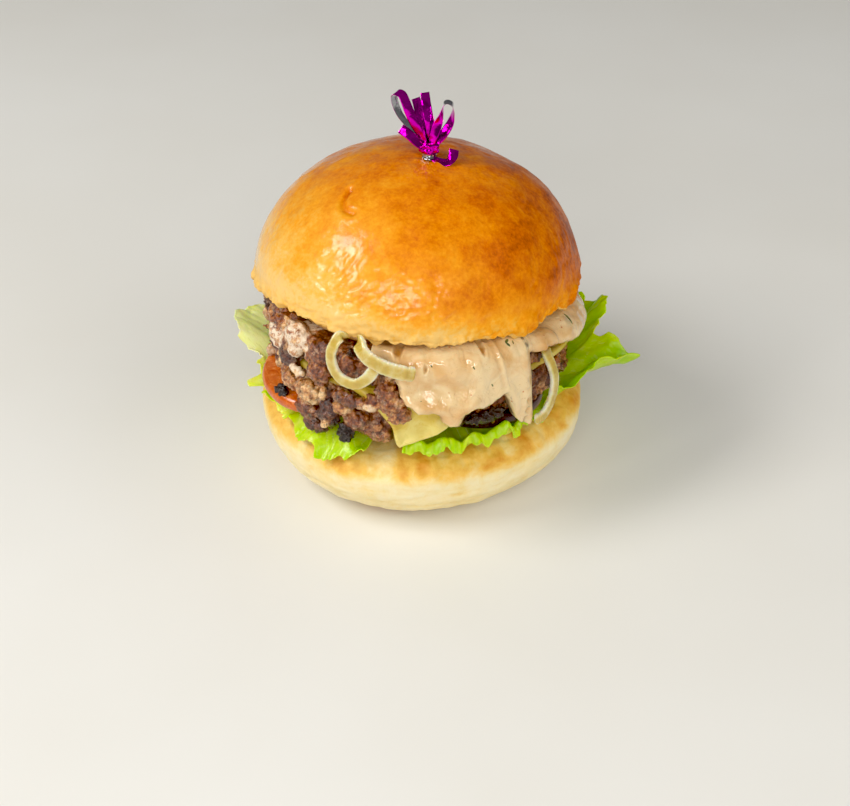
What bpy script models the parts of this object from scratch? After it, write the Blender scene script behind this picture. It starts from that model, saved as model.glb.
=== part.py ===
"""A cheeseburger: two loose beef patties, melted cheese, tomato, lettuce, fried onion and sauce in a
glazed bun, with a foil-frilled pick in the crown.

Metres, +Z up. The origin is the middle of the flat base, and the side that the sauce runs down faces -Y.
Every layer is laid out level, and lean() then lifts the front of the stack, as the crown sits tilted back.
"""

import math

import bmesh
import bpy
from mathutils import Vector, noise

# Bun
BUN_RADIUS = 0.0565
CROWN_RADIUS = 0.0553
HEEL_BASE_RADIUS = 0.036
HEEL_WIDEST_HEIGHT = 0.021
HEEL_TOP = 0.0285
HEEL_TOP_RADIUS = 0.044
CROWN_CUT = 0.0675
CROWN_CUT_RADIUS = 0.0520
CROWN_EDGE = 0.0036
CROWN_DOME = 0.0420
DOME_POWER = 2.02
CROWN_SHIFT = (-0.0014, 0.0012)
CROWN_WANDER = 0.0016
BUN_SIDES = 44
LEAN = 8.0

# Layers between the bun halves, as level slabs
GAP = 0.0004
TOMATO_THICKNESS = 0.0044
TOMATO_LOW = 0.0353
LOWER_PATTY_LOW = TOMATO_LOW + TOMATO_THICKNESS + GAP
LOWER_PATTY_TOP = 0.0499
CHEESE_THICKNESS = 0.0022
CHEESE_LOW = LOWER_PATTY_TOP + 2 * GAP
UPPER_PATTY_LOW = CHEESE_LOW + CHEESE_THICKNESS + GAP
UPPER_PATTY_TOP = 0.0634
UPPER_PATTY_SLOPE = -0.03
SAUCE_TOP = CROWN_CUT - 0.0007

# Patties
PATTY_RADIUS = 0.0512
PATTY_SIDES = 80
PATTY_SIDE_ROWS = 5
PATTY_EDGE_POWER = 3.4
LUMP_SIZE = 0.0095
CRUMB_SIZE = 0.0048
LUMP_HEIGHT = 0.0034
CRUMB_HEIGHT = 0.0013
COVERED_LUMPS = 0.25
# Lumps that stand out of a patty: angle, height, half width in degrees, half height, how far out
LOWER_CHUNKS = ((-122, 0.0410, 9, 0.0060, 0.0016),)
UPPER_CHUNKS = (
    (-99.5, 0.0570, 6, 0.0075, 0.0040),
    (-124, 0.0590, 7, 0.0080, 0.0018),
    (-140, 0.0600, 8, 0.0060, 0.0016),
)
# Where the lower patty's rim sags between the tomato slices: angle, half width in degrees, depth
SAG = (-115, 17, 0.0048)
SAG_FROM_RADIUS = 0.0470

# Cheese slice: a square whose corners hang over the lower patty
CHEESE_SIDE = 0.0915
CHEESE_TURN = -97.0
CHEESE_SHIFT = 0.0060
CHEESE_CELLS = 16
CHEESE_EDGE_RADIUS = 0.0511
CHEESE_BEND = 0.0030
CORNER_ROUNDING = 0.0030

# Sauce: a layer under the crown that runs down the front and the right
SAUCE_DISC_RADIUS = 0.0478
SAUCE_EDGE_RADIUS = 0.0490
SAUCE_BEND = 0.0047
SAUCE_RUN_THICKNESS = 0.0031
SAUCE_LEVEL_RINGS = (0.010, 0.0440)
SAUCE_RUN_ROWS = 5
SAUCE_PLAIN_STEP = 14
# Angle from +X in degrees, and the height of the hem there
SAUCE_HEM = (
    (-113, 0.0700), (-108, 0.0674), (-103, 0.0656), (-99, 0.0634), (-96.5, 0.0610), (-95.3, 0.0550),
    (-94, 0.0502), (-90, 0.0486), (-86, 0.0488), (-84, 0.0490), (-82, 0.0456), (-79.5, 0.0440),
    (-77, 0.0450), (-75, 0.0477), (-73, 0.0497), (-70, 0.0484), (-67, 0.0495), (-64.5, 0.0492),
    (-62.5, 0.0518), (-60, 0.0540), (-58, 0.0519), (-56.5, 0.0469), (-55.2, 0.0420), (-53.6, 0.0382),
    (-51.3, 0.0378), (-50.4, 0.0480), (-49.6, 0.0590), (-47, 0.0594), (-44, 0.0582), (-40, 0.0592),
    (-33, 0.0586), (-28, 0.0581), (-20, 0.0579), (-10, 0.0570), (-5, 0.0594), (0, 0.0650), (4, 0.0700),
)
# Where something lies under the run: angle, half width in degrees, lowest and highest level, how far out
SAUCE_RAISED = (
    (-84, 20, 0.040, 0.0575, 0.0034),
    (-40.5, 8, 0.055, 0.0660, 0.0046),
    (-14, 12, 0.050, 0.0670, 0.0014),
)

# Tomato slices: middle x, middle y and radius
TOMATO_SLICES = {
    "tomato_slice_left": (-0.0300, -0.0090, 0.0240),
    "tomato_slice_right": (0.0200, -0.0226, 0.0226),
    "tomato_slice_back": (0.0140, 0.0290, 0.0240),
}
TOMATO_SIDES = 28

# Lettuce leaves: the margin as angle, radius and height, and the ruffle's height
LEAF_THICKNESS = 0.0008
LEAF_INNER_RADIUS = 0.008
LEAF_BED = 0.0318
LEAF_CLEAR_RADIUS = 0.0500
LEAF_SWELL = 0.0007
LEAF_RUFFLE_LENGTH = 0.0140
LEAF_COLUMNS_PER_RUFFLE = 5
LEAF_OUTER_ROWS = (0.0, 0.4, 0.75, 1.0)
LEAVES = {
    "lettuce_leaf_left": (
        0.0017,
        ((149, 0.057, 0.0340), (158, 0.063, 0.0405), (168, 0.0680, 0.0455), (176, 0.0640, 0.0420),
         (184, 0.0590, 0.0350), (191, 0.0625, 0.0345), (199, 0.0585, 0.0335), (215, 0.0575, 0.0325),
         (226, 0.0575, 0.0305), (236, 0.0575, 0.0285), (243, 0.0570, 0.0290), (250, 0.0555, 0.0305)),
    ),
    "lettuce_leaf_front": (
        0.0013,
        ((264, 0.0550, 0.0335), (272, 0.0560, 0.0330), (280, 0.0555, 0.0342), (290, 0.0550, 0.0345),
         (302, 0.0560, 0.0348), (311, 0.0550, 0.0345)),
    ),
    "lettuce_leaf_right": (
        0.0022,
        ((317, 0.0530, 0.0320), (335, 0.0560, 0.0340), (345, 0.0640, 0.0380), (351, 0.0765, 0.0440),
         (357, 0.0740, 0.0455), (364, 0.0680, 0.0475), (373, 0.0690, 0.0500), (382, 0.0650, 0.0460),
         (392, 0.0600, 0.0380), (402, 0.0570, 0.0330)),
    ),
    "lettuce_leaf_back": (
        0.0019,
        ((407, 0.0560, 0.0325), (420, 0.0610, 0.0350), (436, 0.0590, 0.0330), (455, 0.0640, 0.0370),
         (472, 0.0600, 0.0340), (490, 0.0620, 0.0360), (504, 0.0570, 0.0330)),
    ),
}

# Onion strips: angle, radius and height of the points that the middle line passes
ONION_WIDTH = 0.0036
ONION_THICKNESS = 0.0024
ONION_STATIONS = 18
ONION_SIDES = 6
ONIONS = {
    "onion_strip_left": (
        (-116.6, 0.0530, 0.0650), (-117.2, 0.0560, 0.0660), (-118.3, 0.0588, 0.0650),
        (-119.2, 0.0590, 0.0620), (-118.6, 0.0590, 0.0585), (-116.0, 0.0590, 0.0555),
        (-112.3, 0.0590, 0.0548), (-108.6, 0.0590, 0.0560), (-106.4, 0.0586, 0.0592),
    ),
    "onion_strip_front": (
        (-110.0, 0.0556, 0.0668), (-109.0, 0.0592, 0.0662), (-107.2, 0.0600, 0.0640),
        (-103.5, 0.0600, 0.0630), (-98.5, 0.0600, 0.0618), (-93.0, 0.0594, 0.0612),
    ),
    "onion_strip_right": (
        (-41.6, 0.0549, 0.0600), (-41.0, 0.0556, 0.0570), (-40.4, 0.0572, 0.0535),
        (-40.6, 0.0586, 0.0500), (-41.5, 0.0590, 0.0455), (-43.5, 0.0590, 0.0415),
        (-46.2, 0.0588, 0.0391), (-49.2, 0.0584, 0.0385),
    ),
}

# Pick: a wooden stick with a wound foil frill
PICK_AT = (0.0030, -0.0055)
STICK_RADIUS = 0.0011
STICK_LOW = 0.0820
STICK_TOP = 0.1160
STICK_SIDES = 12
STICK_POINT = 0.004
BAND_LOW = 0.1133
BAND_WAIST = 0.1150
BAND_TOP = 0.1186
BAND_LOW_RADIUS = 0.0021
BAND_RADIUS = 0.0032
FOIL_THICKNESS = 0.00035
FOIL_WIDTH = 0.0032
FOIL_STATIONS = 11
# Each ribbon of foil: x, y, z in mm from the band's top, and its width's direction at both ends
FOIL_RIBBONS = (
    (((-0.6, -0.4, -1.6), (-3.6, -0.9, 4.6), (-6.2, -0.9, 10.6), (-8.6, -0.6, 16.6), (-11.3, 0.0, 16.4),
      (-10.2, 0.5, 11.0), (-6.2, 0.6, 4.6), (-1.4, 0.4, -1.2)), (0.85, -0.5, 0.1), (0.3, 1.0, 0.1)),
    (((-0.4, 0.4, -1.6), (-1.6, 0.3, 4.5), (-3.0, 0.9, 10.0), (-4.2, 1.8, 14.6)),
     (1.0, 0.1, 0.0), (0.8, 0.6, 0.0)),
    (((0.4, 0.2, -1.6), (0.4, -0.2, 5.5), (-0.6, 0.4, 12.4), (-1.3, 2.4, 18.4)),
     (1.0, -0.2, 0.0), (0.9, -0.4, 0.2)),
    (((0.2, -1.2, -1.4), (1.4, -2.2, 3.2), (3.6, -2.0, 9.0), (5.2, -1.2, 13.6), (7.6, 0.2, 12.6),
      (7.4, 1.0, 8.2), (5.0, 0.6, 3.2), (1.2, 0.4, -1.6)), (0.7, -0.6, -0.4), (0.8, 0.4, -0.4)),
    (((-0.8, -0.9, -1.4), (-3.6, -1.6, 0.8), (-6.6, -2.2, 3.8), (-9.2, -2.0, 5.6)),
     (0.3, 0.8, 0.5), (0.5, 0.6, 0.6)),
    (((0.8, -0.6, -4.4), (3.0, -1.8, -4.4), (5.4, -3.0, -4.6), (7.2, -4.0, -5.0)),
     (0.3, 0.9, 0.2), (0.2, 0.9, 0.4)),
)

# Colours of the materials, linear
CRUST = (0.72, 0.34, 0.07)
PALE_CRUST = (0.82, 0.60, 0.27)
BEEF = (0.12, 0.05, 0.03)
CHEESE = (0.86, 0.76, 0.30)
SAUCE = (0.80, 0.53, 0.33)
TOMATO = (0.55, 0.08, 0.03)
LETTUCE = (0.25, 0.48, 0.03)
ONION = (0.70, 0.62, 0.30)
FOIL = (0.42, 0.01, 0.35)
WOOD = (0.62, 0.45, 0.25)


def polar(angle, radius, height):
    """The point at an angle from +X in degrees, a distance from the axis and a height."""
    turn = math.radians(angle)
    return Vector((radius * math.cos(turn), radius * math.sin(turn), height))


def eased(share):
    """0 to 1, with no slope at either end."""
    share = min(max(share, 0.0), 1.0)
    return share * share * (3 - 2 * share)


def through(rows, angle):
    """The values of rows of (angle, value, ...) at an angle, eased from row to row."""
    if angle <= rows[0][0]:
        return rows[0][1:]
    for near, far in zip(rows, rows[1:]):
        if angle <= far[0]:
            share = eased((angle - near[0]) / (far[0] - near[0]))
            return tuple(a + (b - a) * share for a, b in zip(near[1:], far[1:]))
    return rows[-1][1:]


def smooth_path(points, stations):
    """A Catmull-Rom curve through the points, read at even steps of its parameter."""
    ends = [points[0] * 2 - points[1], *points, points[-1] * 2 - points[-2]]
    found = []
    for i in range(stations + 1):
        place = i / stations * (len(points) - 1)
        k = min(int(place), len(points) - 2)
        t = place - k
        a, b, c, d = ends[k : k + 4]
        found.append(
            (b * 2 + (c - a) * t + (a * 2 - b * 5 + c * 4 - d) * t**2 + (b * 3 - a - c * 3 + d) * t**3) / 2
        )
    return found


def lean(point):
    """The point once the stack leans back: level by level, the front rises and the back sinks, and the
    crown turns as one piece."""
    share = min(max((point.z - HEEL_TOP) / (CROWN_CUT - HEEL_TOP), 0.0), 1.0)
    turn = math.radians(LEAN) * share
    above = max(point.z - CROWN_CUT, 0.0)
    height = point.z - above - point.y * math.tan(turn) + above * math.cos(turn)
    return Vector((point.x, point.y + above * math.sin(turn), height))


def finish(name, colour, roughness, metallic=0.0):
    """A Principled material with one colour."""
    material = bpy.data.materials.new(name)
    material.use_nodes = True
    shader = material.node_tree.nodes["Principled BSDF"]
    shader.inputs["Base Color"].default_value = (*colour, 1.0)
    shader.inputs["Roughness"].default_value = roughness
    shader.inputs["Metallic"].default_value = metallic
    return material


def add_solid(name, points, faces, material):
    """A smooth-shaded object with one closed mesh, its faces turned outwards."""
    mesh = bpy.data.meshes.new(name)
    mesh.from_pydata([lean(p) for p in points], [], faces)
    shell = bmesh.new()
    shell.from_mesh(mesh)
    bmesh.ops.recalc_face_normals(shell, faces=shell.faces)
    shell.to_mesh(mesh)
    shell.free()
    mesh.shade_smooth()
    mesh.set_sharp_from_angle(angle=math.radians(50))
    mesh.materials.append(material)
    solid = bpy.data.objects.new(name, mesh)
    bpy.context.scene.collection.objects.link(solid)
    return solid


def ring_faces(rings, sides, wrap=True):
    """Quads between rings of points that are stored one after another."""
    steps = sides if wrap else sides - 1
    return [
        (i * sides + j, i * sides + (j + 1) % sides, (i + 1) * sides + (j + 1) % sides, (i + 1) * sides + j)
        for i in range(rings - 1)
        for j in range(steps)
    ]


def stacked_rings(name, rings, material):
    """A solid from rings of points, from the lowest level to the highest, with a flat cap at both ends."""
    sides = len(rings[0])
    points = [p for ring in rings for p in ring]
    caps = [tuple(reversed(range(sides))), tuple(range(len(points) - sides, len(points)))]
    return add_solid(name, points, ring_faces(len(rings), sides) + caps, material)


def sheet_solid(name, under, over, material, closed_ring=False):
    """A solid between two grids of points alike, which meet in walls at the edges. A closed ring has no
    side edges, and its first row is capped."""
    rows, columns = len(under), len(under[0])
    points = [p for grid in (under, over) for row in grid for p in row]
    over_from = rows * columns
    faces = []
    for quad in ring_faces(rows, columns, closed_ring):
        a, b, c, d = quad
        faces += [(a, b, c), (a, c, d)]
        a, b, c, d = (k + over_from for k in quad)
        faces += [(a, c, b), (a, d, c)]
    last = (rows - 1) * columns
    rims = [[last + j for j in range(columns)]]
    if closed_ring:
        rims[0].append(last)
        faces.append(tuple(range(columns)))
        faces.append(tuple(reversed(range(over_from, over_from + columns))))
    else:
        rims.append(list(range(columns)))
        rims.append([i * columns for i in range(rows)])
        rims.append([i * columns + columns - 1 for i in range(rows)])
    for rim in rims:
        faces += [(a, b, b + over_from, a + over_from) for a, b in zip(rim, rim[1:])]
    return add_solid(name, points, faces, material)


def uneven(angle, seed, amount):
    """A slow wander of a radius round the axis, alike at 0 and 360 degrees."""
    turn = math.radians(angle)
    return amount * noise.noise(Vector((math.cos(turn) * 1.3, math.sin(turn) * 1.3, seed)))


def bun_ring(radius, height, seed, wander, shift=(0.0, 0.0)):
    """One ring of a bun half, a little out of round."""
    ring = []
    for j in range(BUN_SIDES):
        angle = 360 * j / BUN_SIDES
        share = radius / BUN_RADIUS
        ring.append(polar(angle, radius + uneven(angle, seed, wander) * share, height) + Vector((*shift, 0)))
    return ring


def build_heel(material):
    """The lower half of the bun: a flat base, a full side and a shoulder up to the toasted cut face."""
    rings = [bun_ring(HEEL_BASE_RADIUS, 0.0, 4.0, 0.0)]
    side_steps, shoulder_steps = 6, 4
    for i in range(1, side_steps + 1):
        turn = math.pi / 2 * i / side_steps
        radius = HEEL_BASE_RADIUS + (BUN_RADIUS - HEEL_BASE_RADIUS) * math.sin(turn) ** 0.95
        rings.append(bun_ring(radius, HEEL_WIDEST_HEIGHT * (1 - math.cos(turn) ** 0.95), 4.0, 0.0022))
    for i in range(1, shoulder_steps + 1):
        turn = math.pi / 2 * i / shoulder_steps
        radius = HEEL_TOP_RADIUS + (BUN_RADIUS - HEEL_TOP_RADIUS) * math.cos(turn) ** 0.8
        height = HEEL_WIDEST_HEIGHT + (HEEL_TOP - HEEL_WIDEST_HEIGHT) * math.sin(turn) ** 1.1
        rings.append(bun_ring(radius, height, 4.0, 0.0022))
    rings.append(bun_ring(HEEL_TOP_RADIUS / 2, HEEL_TOP, 4.0, 0.0))
    return stacked_rings("bun_heel", rings, material)


def build_crown(material):
    """The upper half of the bun: a cut face, a soft edge and a high dome, with a hole for the pick."""
    edge_steps, dome_steps = 3, 9
    levels = [(CROWN_CUT_RADIUS / 2, CROWN_CUT, 0.0)]
    for i in range(edge_steps + 1):
        turn = math.pi / 2 * i / edge_steps
        radius = CROWN_CUT_RADIUS + (CROWN_RADIUS - CROWN_CUT_RADIUS) * math.sin(turn)
        levels.append((radius, CROWN_CUT + CROWN_EDGE * (1 - math.cos(turn)), CROWN_WANDER))
    for i in range(1, dome_steps + 1):
        turn = math.pi / 2 * i / (dome_steps + 0.35)
        radius = CROWN_RADIUS * math.cos(turn) ** (2 / DOME_POWER)
        height = CROWN_CUT + CROWN_EDGE + CROWN_DOME * math.sin(turn) ** (2 / DOME_POWER)
        levels.append((radius, height, CROWN_WANDER))
    rings = [bun_ring(radius, height, 9.0, wander, CROWN_SHIFT) for radius, height, wander in levels]
    crown = stacked_rings("bun_crown", rings, material)
    drill(crown, "pick_hole", STICK_RADIUS + GAP, STICK_LOW - GAP, STICK_TOP + 0.004)
    return crown


def round_bar(name, radius, low, high, point=0.0):
    """A round bar on the pick's axis, with a tapered lower end if point is set."""
    levels = [(radius, low), (radius, high)]
    if point:
        levels = [(radius * 0.25, low), (radius, low + point), (radius, high)]
    rings = [
        [polar(360 * j / STICK_SIDES, r, z) + Vector((*PICK_AT, 0)) for j in range(STICK_SIDES)]
        for r, z in levels
    ]
    return stacked_rings(name, rings, None)


def drill(solid, name, radius, low, high):
    """Cuts a round hole on the pick's axis out of a solid."""
    cutter = round_bar(name, radius, low, high)
    cutter.hide_render = True
    cutter.display_type = "WIRE"
    cut = solid.modifiers.new(name, "BOOLEAN")
    cut.operation = "DIFFERENCE"
    cut.object = cutter


def build_stick(material):
    """The pick's wooden stick."""
    stick = round_bar("pick_stick", STICK_RADIUS, STICK_LOW, STICK_TOP, STICK_POINT)
    stick.data.materials.clear()
    stick.data.materials.append(material)
    return stick


def cracked(point, size):
    """Rounded lumps of a size: near 1 on a lump, 0 in the crack between two."""
    near = noise.voronoi(point / size)[0]
    return 1 - math.exp(-5 * (near[1] - near[0]))


def within(value, middle, half):
    """1 at the middle, easing to 0 a half width away."""
    return eased(1 - abs(value - middle) / half)


def signed(angle):
    """An angle in degrees from -180 to 180."""
    return (angle + 180) % 360 - 180


def slice_reach(angle):
    """How far the cheese slice goes from the axis at an angle."""
    towards = polar(angle, 1.0, 0)
    middle = polar(CHEESE_TURN, CHEESE_SHIFT, 0)
    reaches = []
    for side in range(4):
        normal = polar(CHEESE_TURN + 45 + 90 * side, 1.0, 0)
        if towards.dot(normal) > 0.01:
            reaches.append((CHEESE_SIDE / 2 + middle.dot(normal)) / towards.dot(normal))
    return min(reaches)


def covered(angle, height):
    """Whether cheese or sauce hangs over the patties here, from 0 to 1."""
    turn = signed(angle)
    under_sauce = 0.0
    if SAUCE_HEM[0][0] - 4 < turn < SAUCE_HEM[-1][0] + 4:
        hem = min(through(SAUCE_HEM, turn)[0], UPPER_PATTY_TOP - 0.002)
        under_sauce = eased((height - hem) / 0.004 + 1)
    past_edge = slice_reach(angle) - CHEESE_EDGE_RADIUS
    hang = CHEESE_LOW - max(past_edge - CHEESE_BEND * 0.6, 0.0)
    under_cheese = eased(past_edge / 0.002 + 1) * eased((height - hang) / 0.004 + 1)
    return max(under_sauce, under_cheese if height < CHEESE_LOW + CHEESE_THICKNESS else 0.0)


def patty_surface(angle, turn, low, high, slope, seed, chunks):
    """A point of a patty's outline: turn is -90 degrees at the lower edge and 90 at the upper one."""
    half = (high - low) / 2
    across, up = math.cos(turn), math.sin(turn)
    radius = PATTY_RADIUS - 0.006 * (1 - across ** (2 / PATTY_EDGE_POWER))
    height = (low + high) / 2 + half * math.copysign(abs(up) ** (2 / PATTY_EDGE_POWER), up)
    spot = polar(angle, radius, height)
    relief = LUMP_HEIGHT * cracked(spot + Vector((0, 0, seed)), LUMP_SIZE)
    relief += CRUMB_HEIGHT * cracked(spot + Vector((0, 0, seed)), CRUMB_SIZE) - 0.0015
    relief *= 1 - (1 - COVERED_LUMPS) * covered(angle, height)
    for middle, level, wide, tall, out in chunks:
        relief += out * within(signed(angle), middle, wide) * within(height, level, tall)
    spot = polar(angle, radius + relief * across**0.5, height)
    spot.z += slope * spot.x * (height - low) / (high - low)
    return spot


def build_patty(name, low, high, slope, seed, chunks, sag, material):
    """A hand-pressed patty of coarse mince, its side broken into lumps and crumbs."""
    inner = SAG_FROM_RADIUS - 0.003
    angles = [360 * j / PATTY_SIDES for j in range(PATTY_SIDES)]
    rings = [[polar(angle, inner, low) for angle in angles]]
    for i in range(PATTY_SIDE_ROWS + 1):
        turn = math.pi / 2 * (2 * i / PATTY_SIDE_ROWS - 1) * 0.999
        rings.append([patty_surface(angle, turn, low, high, slope, seed, chunks) for angle in angles])
    rings.append([polar(angle, inner, high) for angle in angles])
    for spot in rings[-1]:
        spot.z += slope * spot.x
    middle, half, depth = sag
    for ring in rings:
        for angle, spot in zip(angles, ring):
            outer = eased((math.hypot(spot.x, spot.y) - inner) / (SAG_FROM_RADIUS - inner))
            under = 1 - eased((spot.z - low) / (high - low))
            spot.z -= depth * within(signed(angle), middle, half) * outer * under
    return stacked_rings(name, rings, material)


def draped(flat_x, flat_y):
    """Where a spot of the slice lies, and which way its upper face looks: level on the patty, then over
    the edge and down its side."""
    radius = math.hypot(flat_x, flat_y)
    angle = math.degrees(math.atan2(flat_y, flat_x))
    over = radius - CHEESE_EDGE_RADIUS
    if over <= 0:
        return polar(angle, radius, CHEESE_LOW), Vector((0, 0, 1))
    bend = min(over / CHEESE_BEND, math.pi / 2)
    hang = max(over - CHEESE_BEND * math.pi / 2, 0.0)
    spot = polar(
        angle,
        CHEESE_EDGE_RADIUS + CHEESE_BEND * math.sin(bend) + hang * 0.06,
        CHEESE_LOW - CHEESE_BEND * (1 - math.cos(bend)) - hang,
    )
    return spot, polar(angle, math.sin(bend), math.cos(bend))


def build_cheese(material):
    """A square slice of melted cheese, turned so that one corner hangs at the front."""
    turn = math.radians(CHEESE_TURN + 45)
    middle = polar(CHEESE_TURN, CHEESE_SHIFT, 0)
    under, over = [], []
    for i in range(CHEESE_CELLS + 1):
        rows = [], []
        for j in range(CHEESE_CELLS + 1):
            u, v = (2 * i / CHEESE_CELLS - 1), (2 * j / CHEESE_CELLS - 1)
            # The corners draw in a little, as they melt
            pull = 1 - CORNER_ROUNDING / CHEESE_SIDE * 2 * (u * v) ** 4
            u, v = u * pull * CHEESE_SIDE / 2, v * pull * CHEESE_SIDE / 2
            x = middle.x + u * math.cos(turn) - v * math.sin(turn)
            y = middle.y + u * math.sin(turn) + v * math.cos(turn)
            spot, facing = draped(x, y)
            thickness = CHEESE_THICKNESS * (1 - 0.25 * max(abs(u), abs(v)) * 2 / CHEESE_SIDE)
            rows[0].append(spot)
            rows[1].append(spot + facing * thickness)
        under.append(rows[0])
        over.append(rows[1])
    return sheet_solid("cheese_slice", under, over, material)


def sauce_floor(angle, run):
    """Where the sauce's underside is, run metres from the axis along the patty, and its outward side."""
    def level(radius):
        return UPPER_PATTY_TOP + GAP + UPPER_PATTY_SLOPE * radius * math.cos(math.radians(angle))

    over = run - SAUCE_EDGE_RADIUS
    if over <= 0:
        return polar(angle, run, level(run)), Vector((0, 0, 1))
    bend = min(over / SAUCE_BEND, math.pi / 2)
    hang = max(over - SAUCE_BEND * math.pi / 2, 0.0)
    radius = SAUCE_EDGE_RADIUS + SAUCE_BEND * math.sin(bend)
    height = level(SAUCE_EDGE_RADIUS) - SAUCE_BEND * (1 - math.cos(bend)) - hang
    for centre, half, low, high, raised in SAUCE_RAISED:
        near = eased(1.6 - abs(signed(angle) - centre) / half * 1.6)
        radius += raised * near * eased((high - height) / 0.006) * eased((height - low) / 0.004 + 1)
    return polar(angle, radius, height), polar(angle, math.sin(bend), math.cos(bend))


def sauce_angles():
    """Columns round the sauce: at each point of the hem, and wide apart where no sauce runs down."""
    columns = [row[0] for row in SAUCE_HEM]
    left = 360 - (columns[-1] - columns[0])
    steps = round(left / SAUCE_PLAIN_STEP)
    return columns + [columns[-1] + left * k / steps for k in range(1, steps)]


def build_sauce(material):
    """The sauce under the crown, thick enough to close the gap there, with its runs down the side."""
    def wall(angle):
        return sauce_floor(angle, SAUCE_EDGE_RADIUS + SAUCE_BEND * math.pi / 2)[0].z

    under, over = [], []
    columns = []
    for angle in sauce_angles():
        inside = SAUCE_HEM[0][0] <= angle <= SAUCE_HEM[-1][0]
        bend_end = SAUCE_EDGE_RADIUS + SAUCE_BEND * math.pi / 2
        if inside:
            length = bend_end + max(wall(angle) - through(SAUCE_HEM, angle)[0], -0.004)
        else:
            length = SAUCE_DISC_RADIUS
        start = SAUCE_LEVEL_RINGS[-1]
        runs = list(SAUCE_LEVEL_RINGS)
        runs += [start + (length - start) * k / SAUCE_RUN_ROWS for k in range(1, SAUCE_RUN_ROWS + 1)]
        columns.append((angle, runs))
    for row in range(len(columns[0][1])):
        low_row, high_row = [], []
        for angle, runs in columns:
            spot, facing = sauce_floor(angle, runs[row])
            fill = SAUCE_TOP - sauce_floor(angle, min(runs[row], SAUCE_EDGE_RADIUS))[0].z
            share = eased((runs[row] - 0.044) / 0.011)
            thickness = fill + (SAUCE_RUN_THICKNESS - fill) * share
            if row == len(columns[0][1]) - 1:
                thickness *= 0.62
            low_row.append(spot)
            high_row.append(spot + facing * thickness)
        under.append(low_row)
        over.append(high_row)
    return sheet_solid("sauce", under, over, material, closed_ring=True)


def build_tomato(name, middle_x, middle_y, radius, material):
    """A slice of tomato with a rounded rim of skin."""
    rings = []
    for inset, height in ((0.9, 0.0), (0.15, 0.0), (0.0, 0.35), (0.0, 0.65), (0.15, 1.0), (0.9, 1.0)):
        size = radius - inset * 0.004
        rings.append(
            [
                polar(360 * j / TOMATO_SIDES, size, TOMATO_LOW + height * TOMATO_THICKNESS)
                + Vector((middle_x, middle_y, 0))
                for j in range(TOMATO_SIDES)
            ]
        )
    return stacked_rings(name, rings, material)


def leaf_point(angle, out, margin, ruffle):
    """A point of a leaf: flat in the burger while out is 0 or less, then out to the margin with growing
    ruffles."""
    reach, height = through(margin, angle)
    flat = max(out, 0.0)
    radius = LEAF_CLEAR_RADIUS + (reach - LEAF_CLEAR_RADIUS) * flat if out >= 0 else LEAF_INNER_RADIUS
    waves = math.radians(angle) * BUN_RADIUS / LEAF_RUFFLE_LENGTH * 2 * math.pi
    wave = math.sin(waves) + 0.35 * math.sin(waves * 0.43 + 1.1)
    swell = LEAF_SWELL * eased(radius / LEAF_CLEAR_RADIUS)
    z = LEAF_BED + (height - LEAF_BED) * flat**1.25 + wave * (swell + (ruffle - swell) * flat)
    radius += 0.35 * ruffle * math.sin(waves * 0.5 + 0.7) * flat
    return polar(angle, radius, z)


def build_leaf(name, ruffle, margin, material):
    """A lettuce leaf as a thin wavy solid, torn to a sector that lies in the burger and shows at its edge."""
    first, last = margin[0][0], margin[-1][0]
    arc = math.radians(last - first) * BUN_RADIUS
    columns = round(arc / LEAF_RUFFLE_LENGTH * LEAF_COLUMNS_PER_RUFFLE)
    half = Vector((0, 0, LEAF_THICKNESS / 2))
    grid = [
        [leaf_point(first + (last - first) * j / columns, out, margin, ruffle) for j in range(columns + 1)]
        for out in (-1, *LEAF_OUTER_ROWS)
    ]
    under = [[p - half for p in row] for row in grid]
    over = [[p + half for p in row] for row in grid]
    return sheet_solid(name, under, over, material)


def swept(name, path, across, width, thickness, sides, material, power=2.0):
    """A strip along a path: across gives its width's direction at each point of it."""
    rings = []
    for i, spot in enumerate(path):
        ahead = (path[min(i + 1, len(path) - 1)] - path[max(i - 1, 0)]).normalized()
        side = across[i] - ahead * across[i].dot(ahead)
        side.normalize()
        face = ahead.cross(side)
        ring = []
        for j in range(sides):
            turn = 2 * math.pi * (j + 0.5) / sides
            c, s = math.cos(turn), math.sin(turn)
            wide = math.copysign(abs(c) ** (2 / power), c) * width / 2
            deep = math.copysign(abs(s) ** (2 / power), s) * thickness / 2
            ring.append(spot + side * wide + face * deep)
        rings.append(ring)
    return stacked_rings(name, rings, material)


def build_onion(name, route, material):
    """A strip of fried onion that hangs out of the stack."""
    path = smooth_path([polar(*place) for place in route], ONION_STATIONS)
    across = []
    for i, spot in enumerate(path):
        ahead = path[min(i + 1, len(path) - 1)] - path[max(i - 1, 0)]
        outward = Vector((spot.x, spot.y, 0)).normalized()
        across.append(ahead.cross(outward).normalized())
    return swept(name, path, across, ONION_WIDTH, ONION_THICKNESS, ONION_SIDES, material, 2.8)


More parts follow.
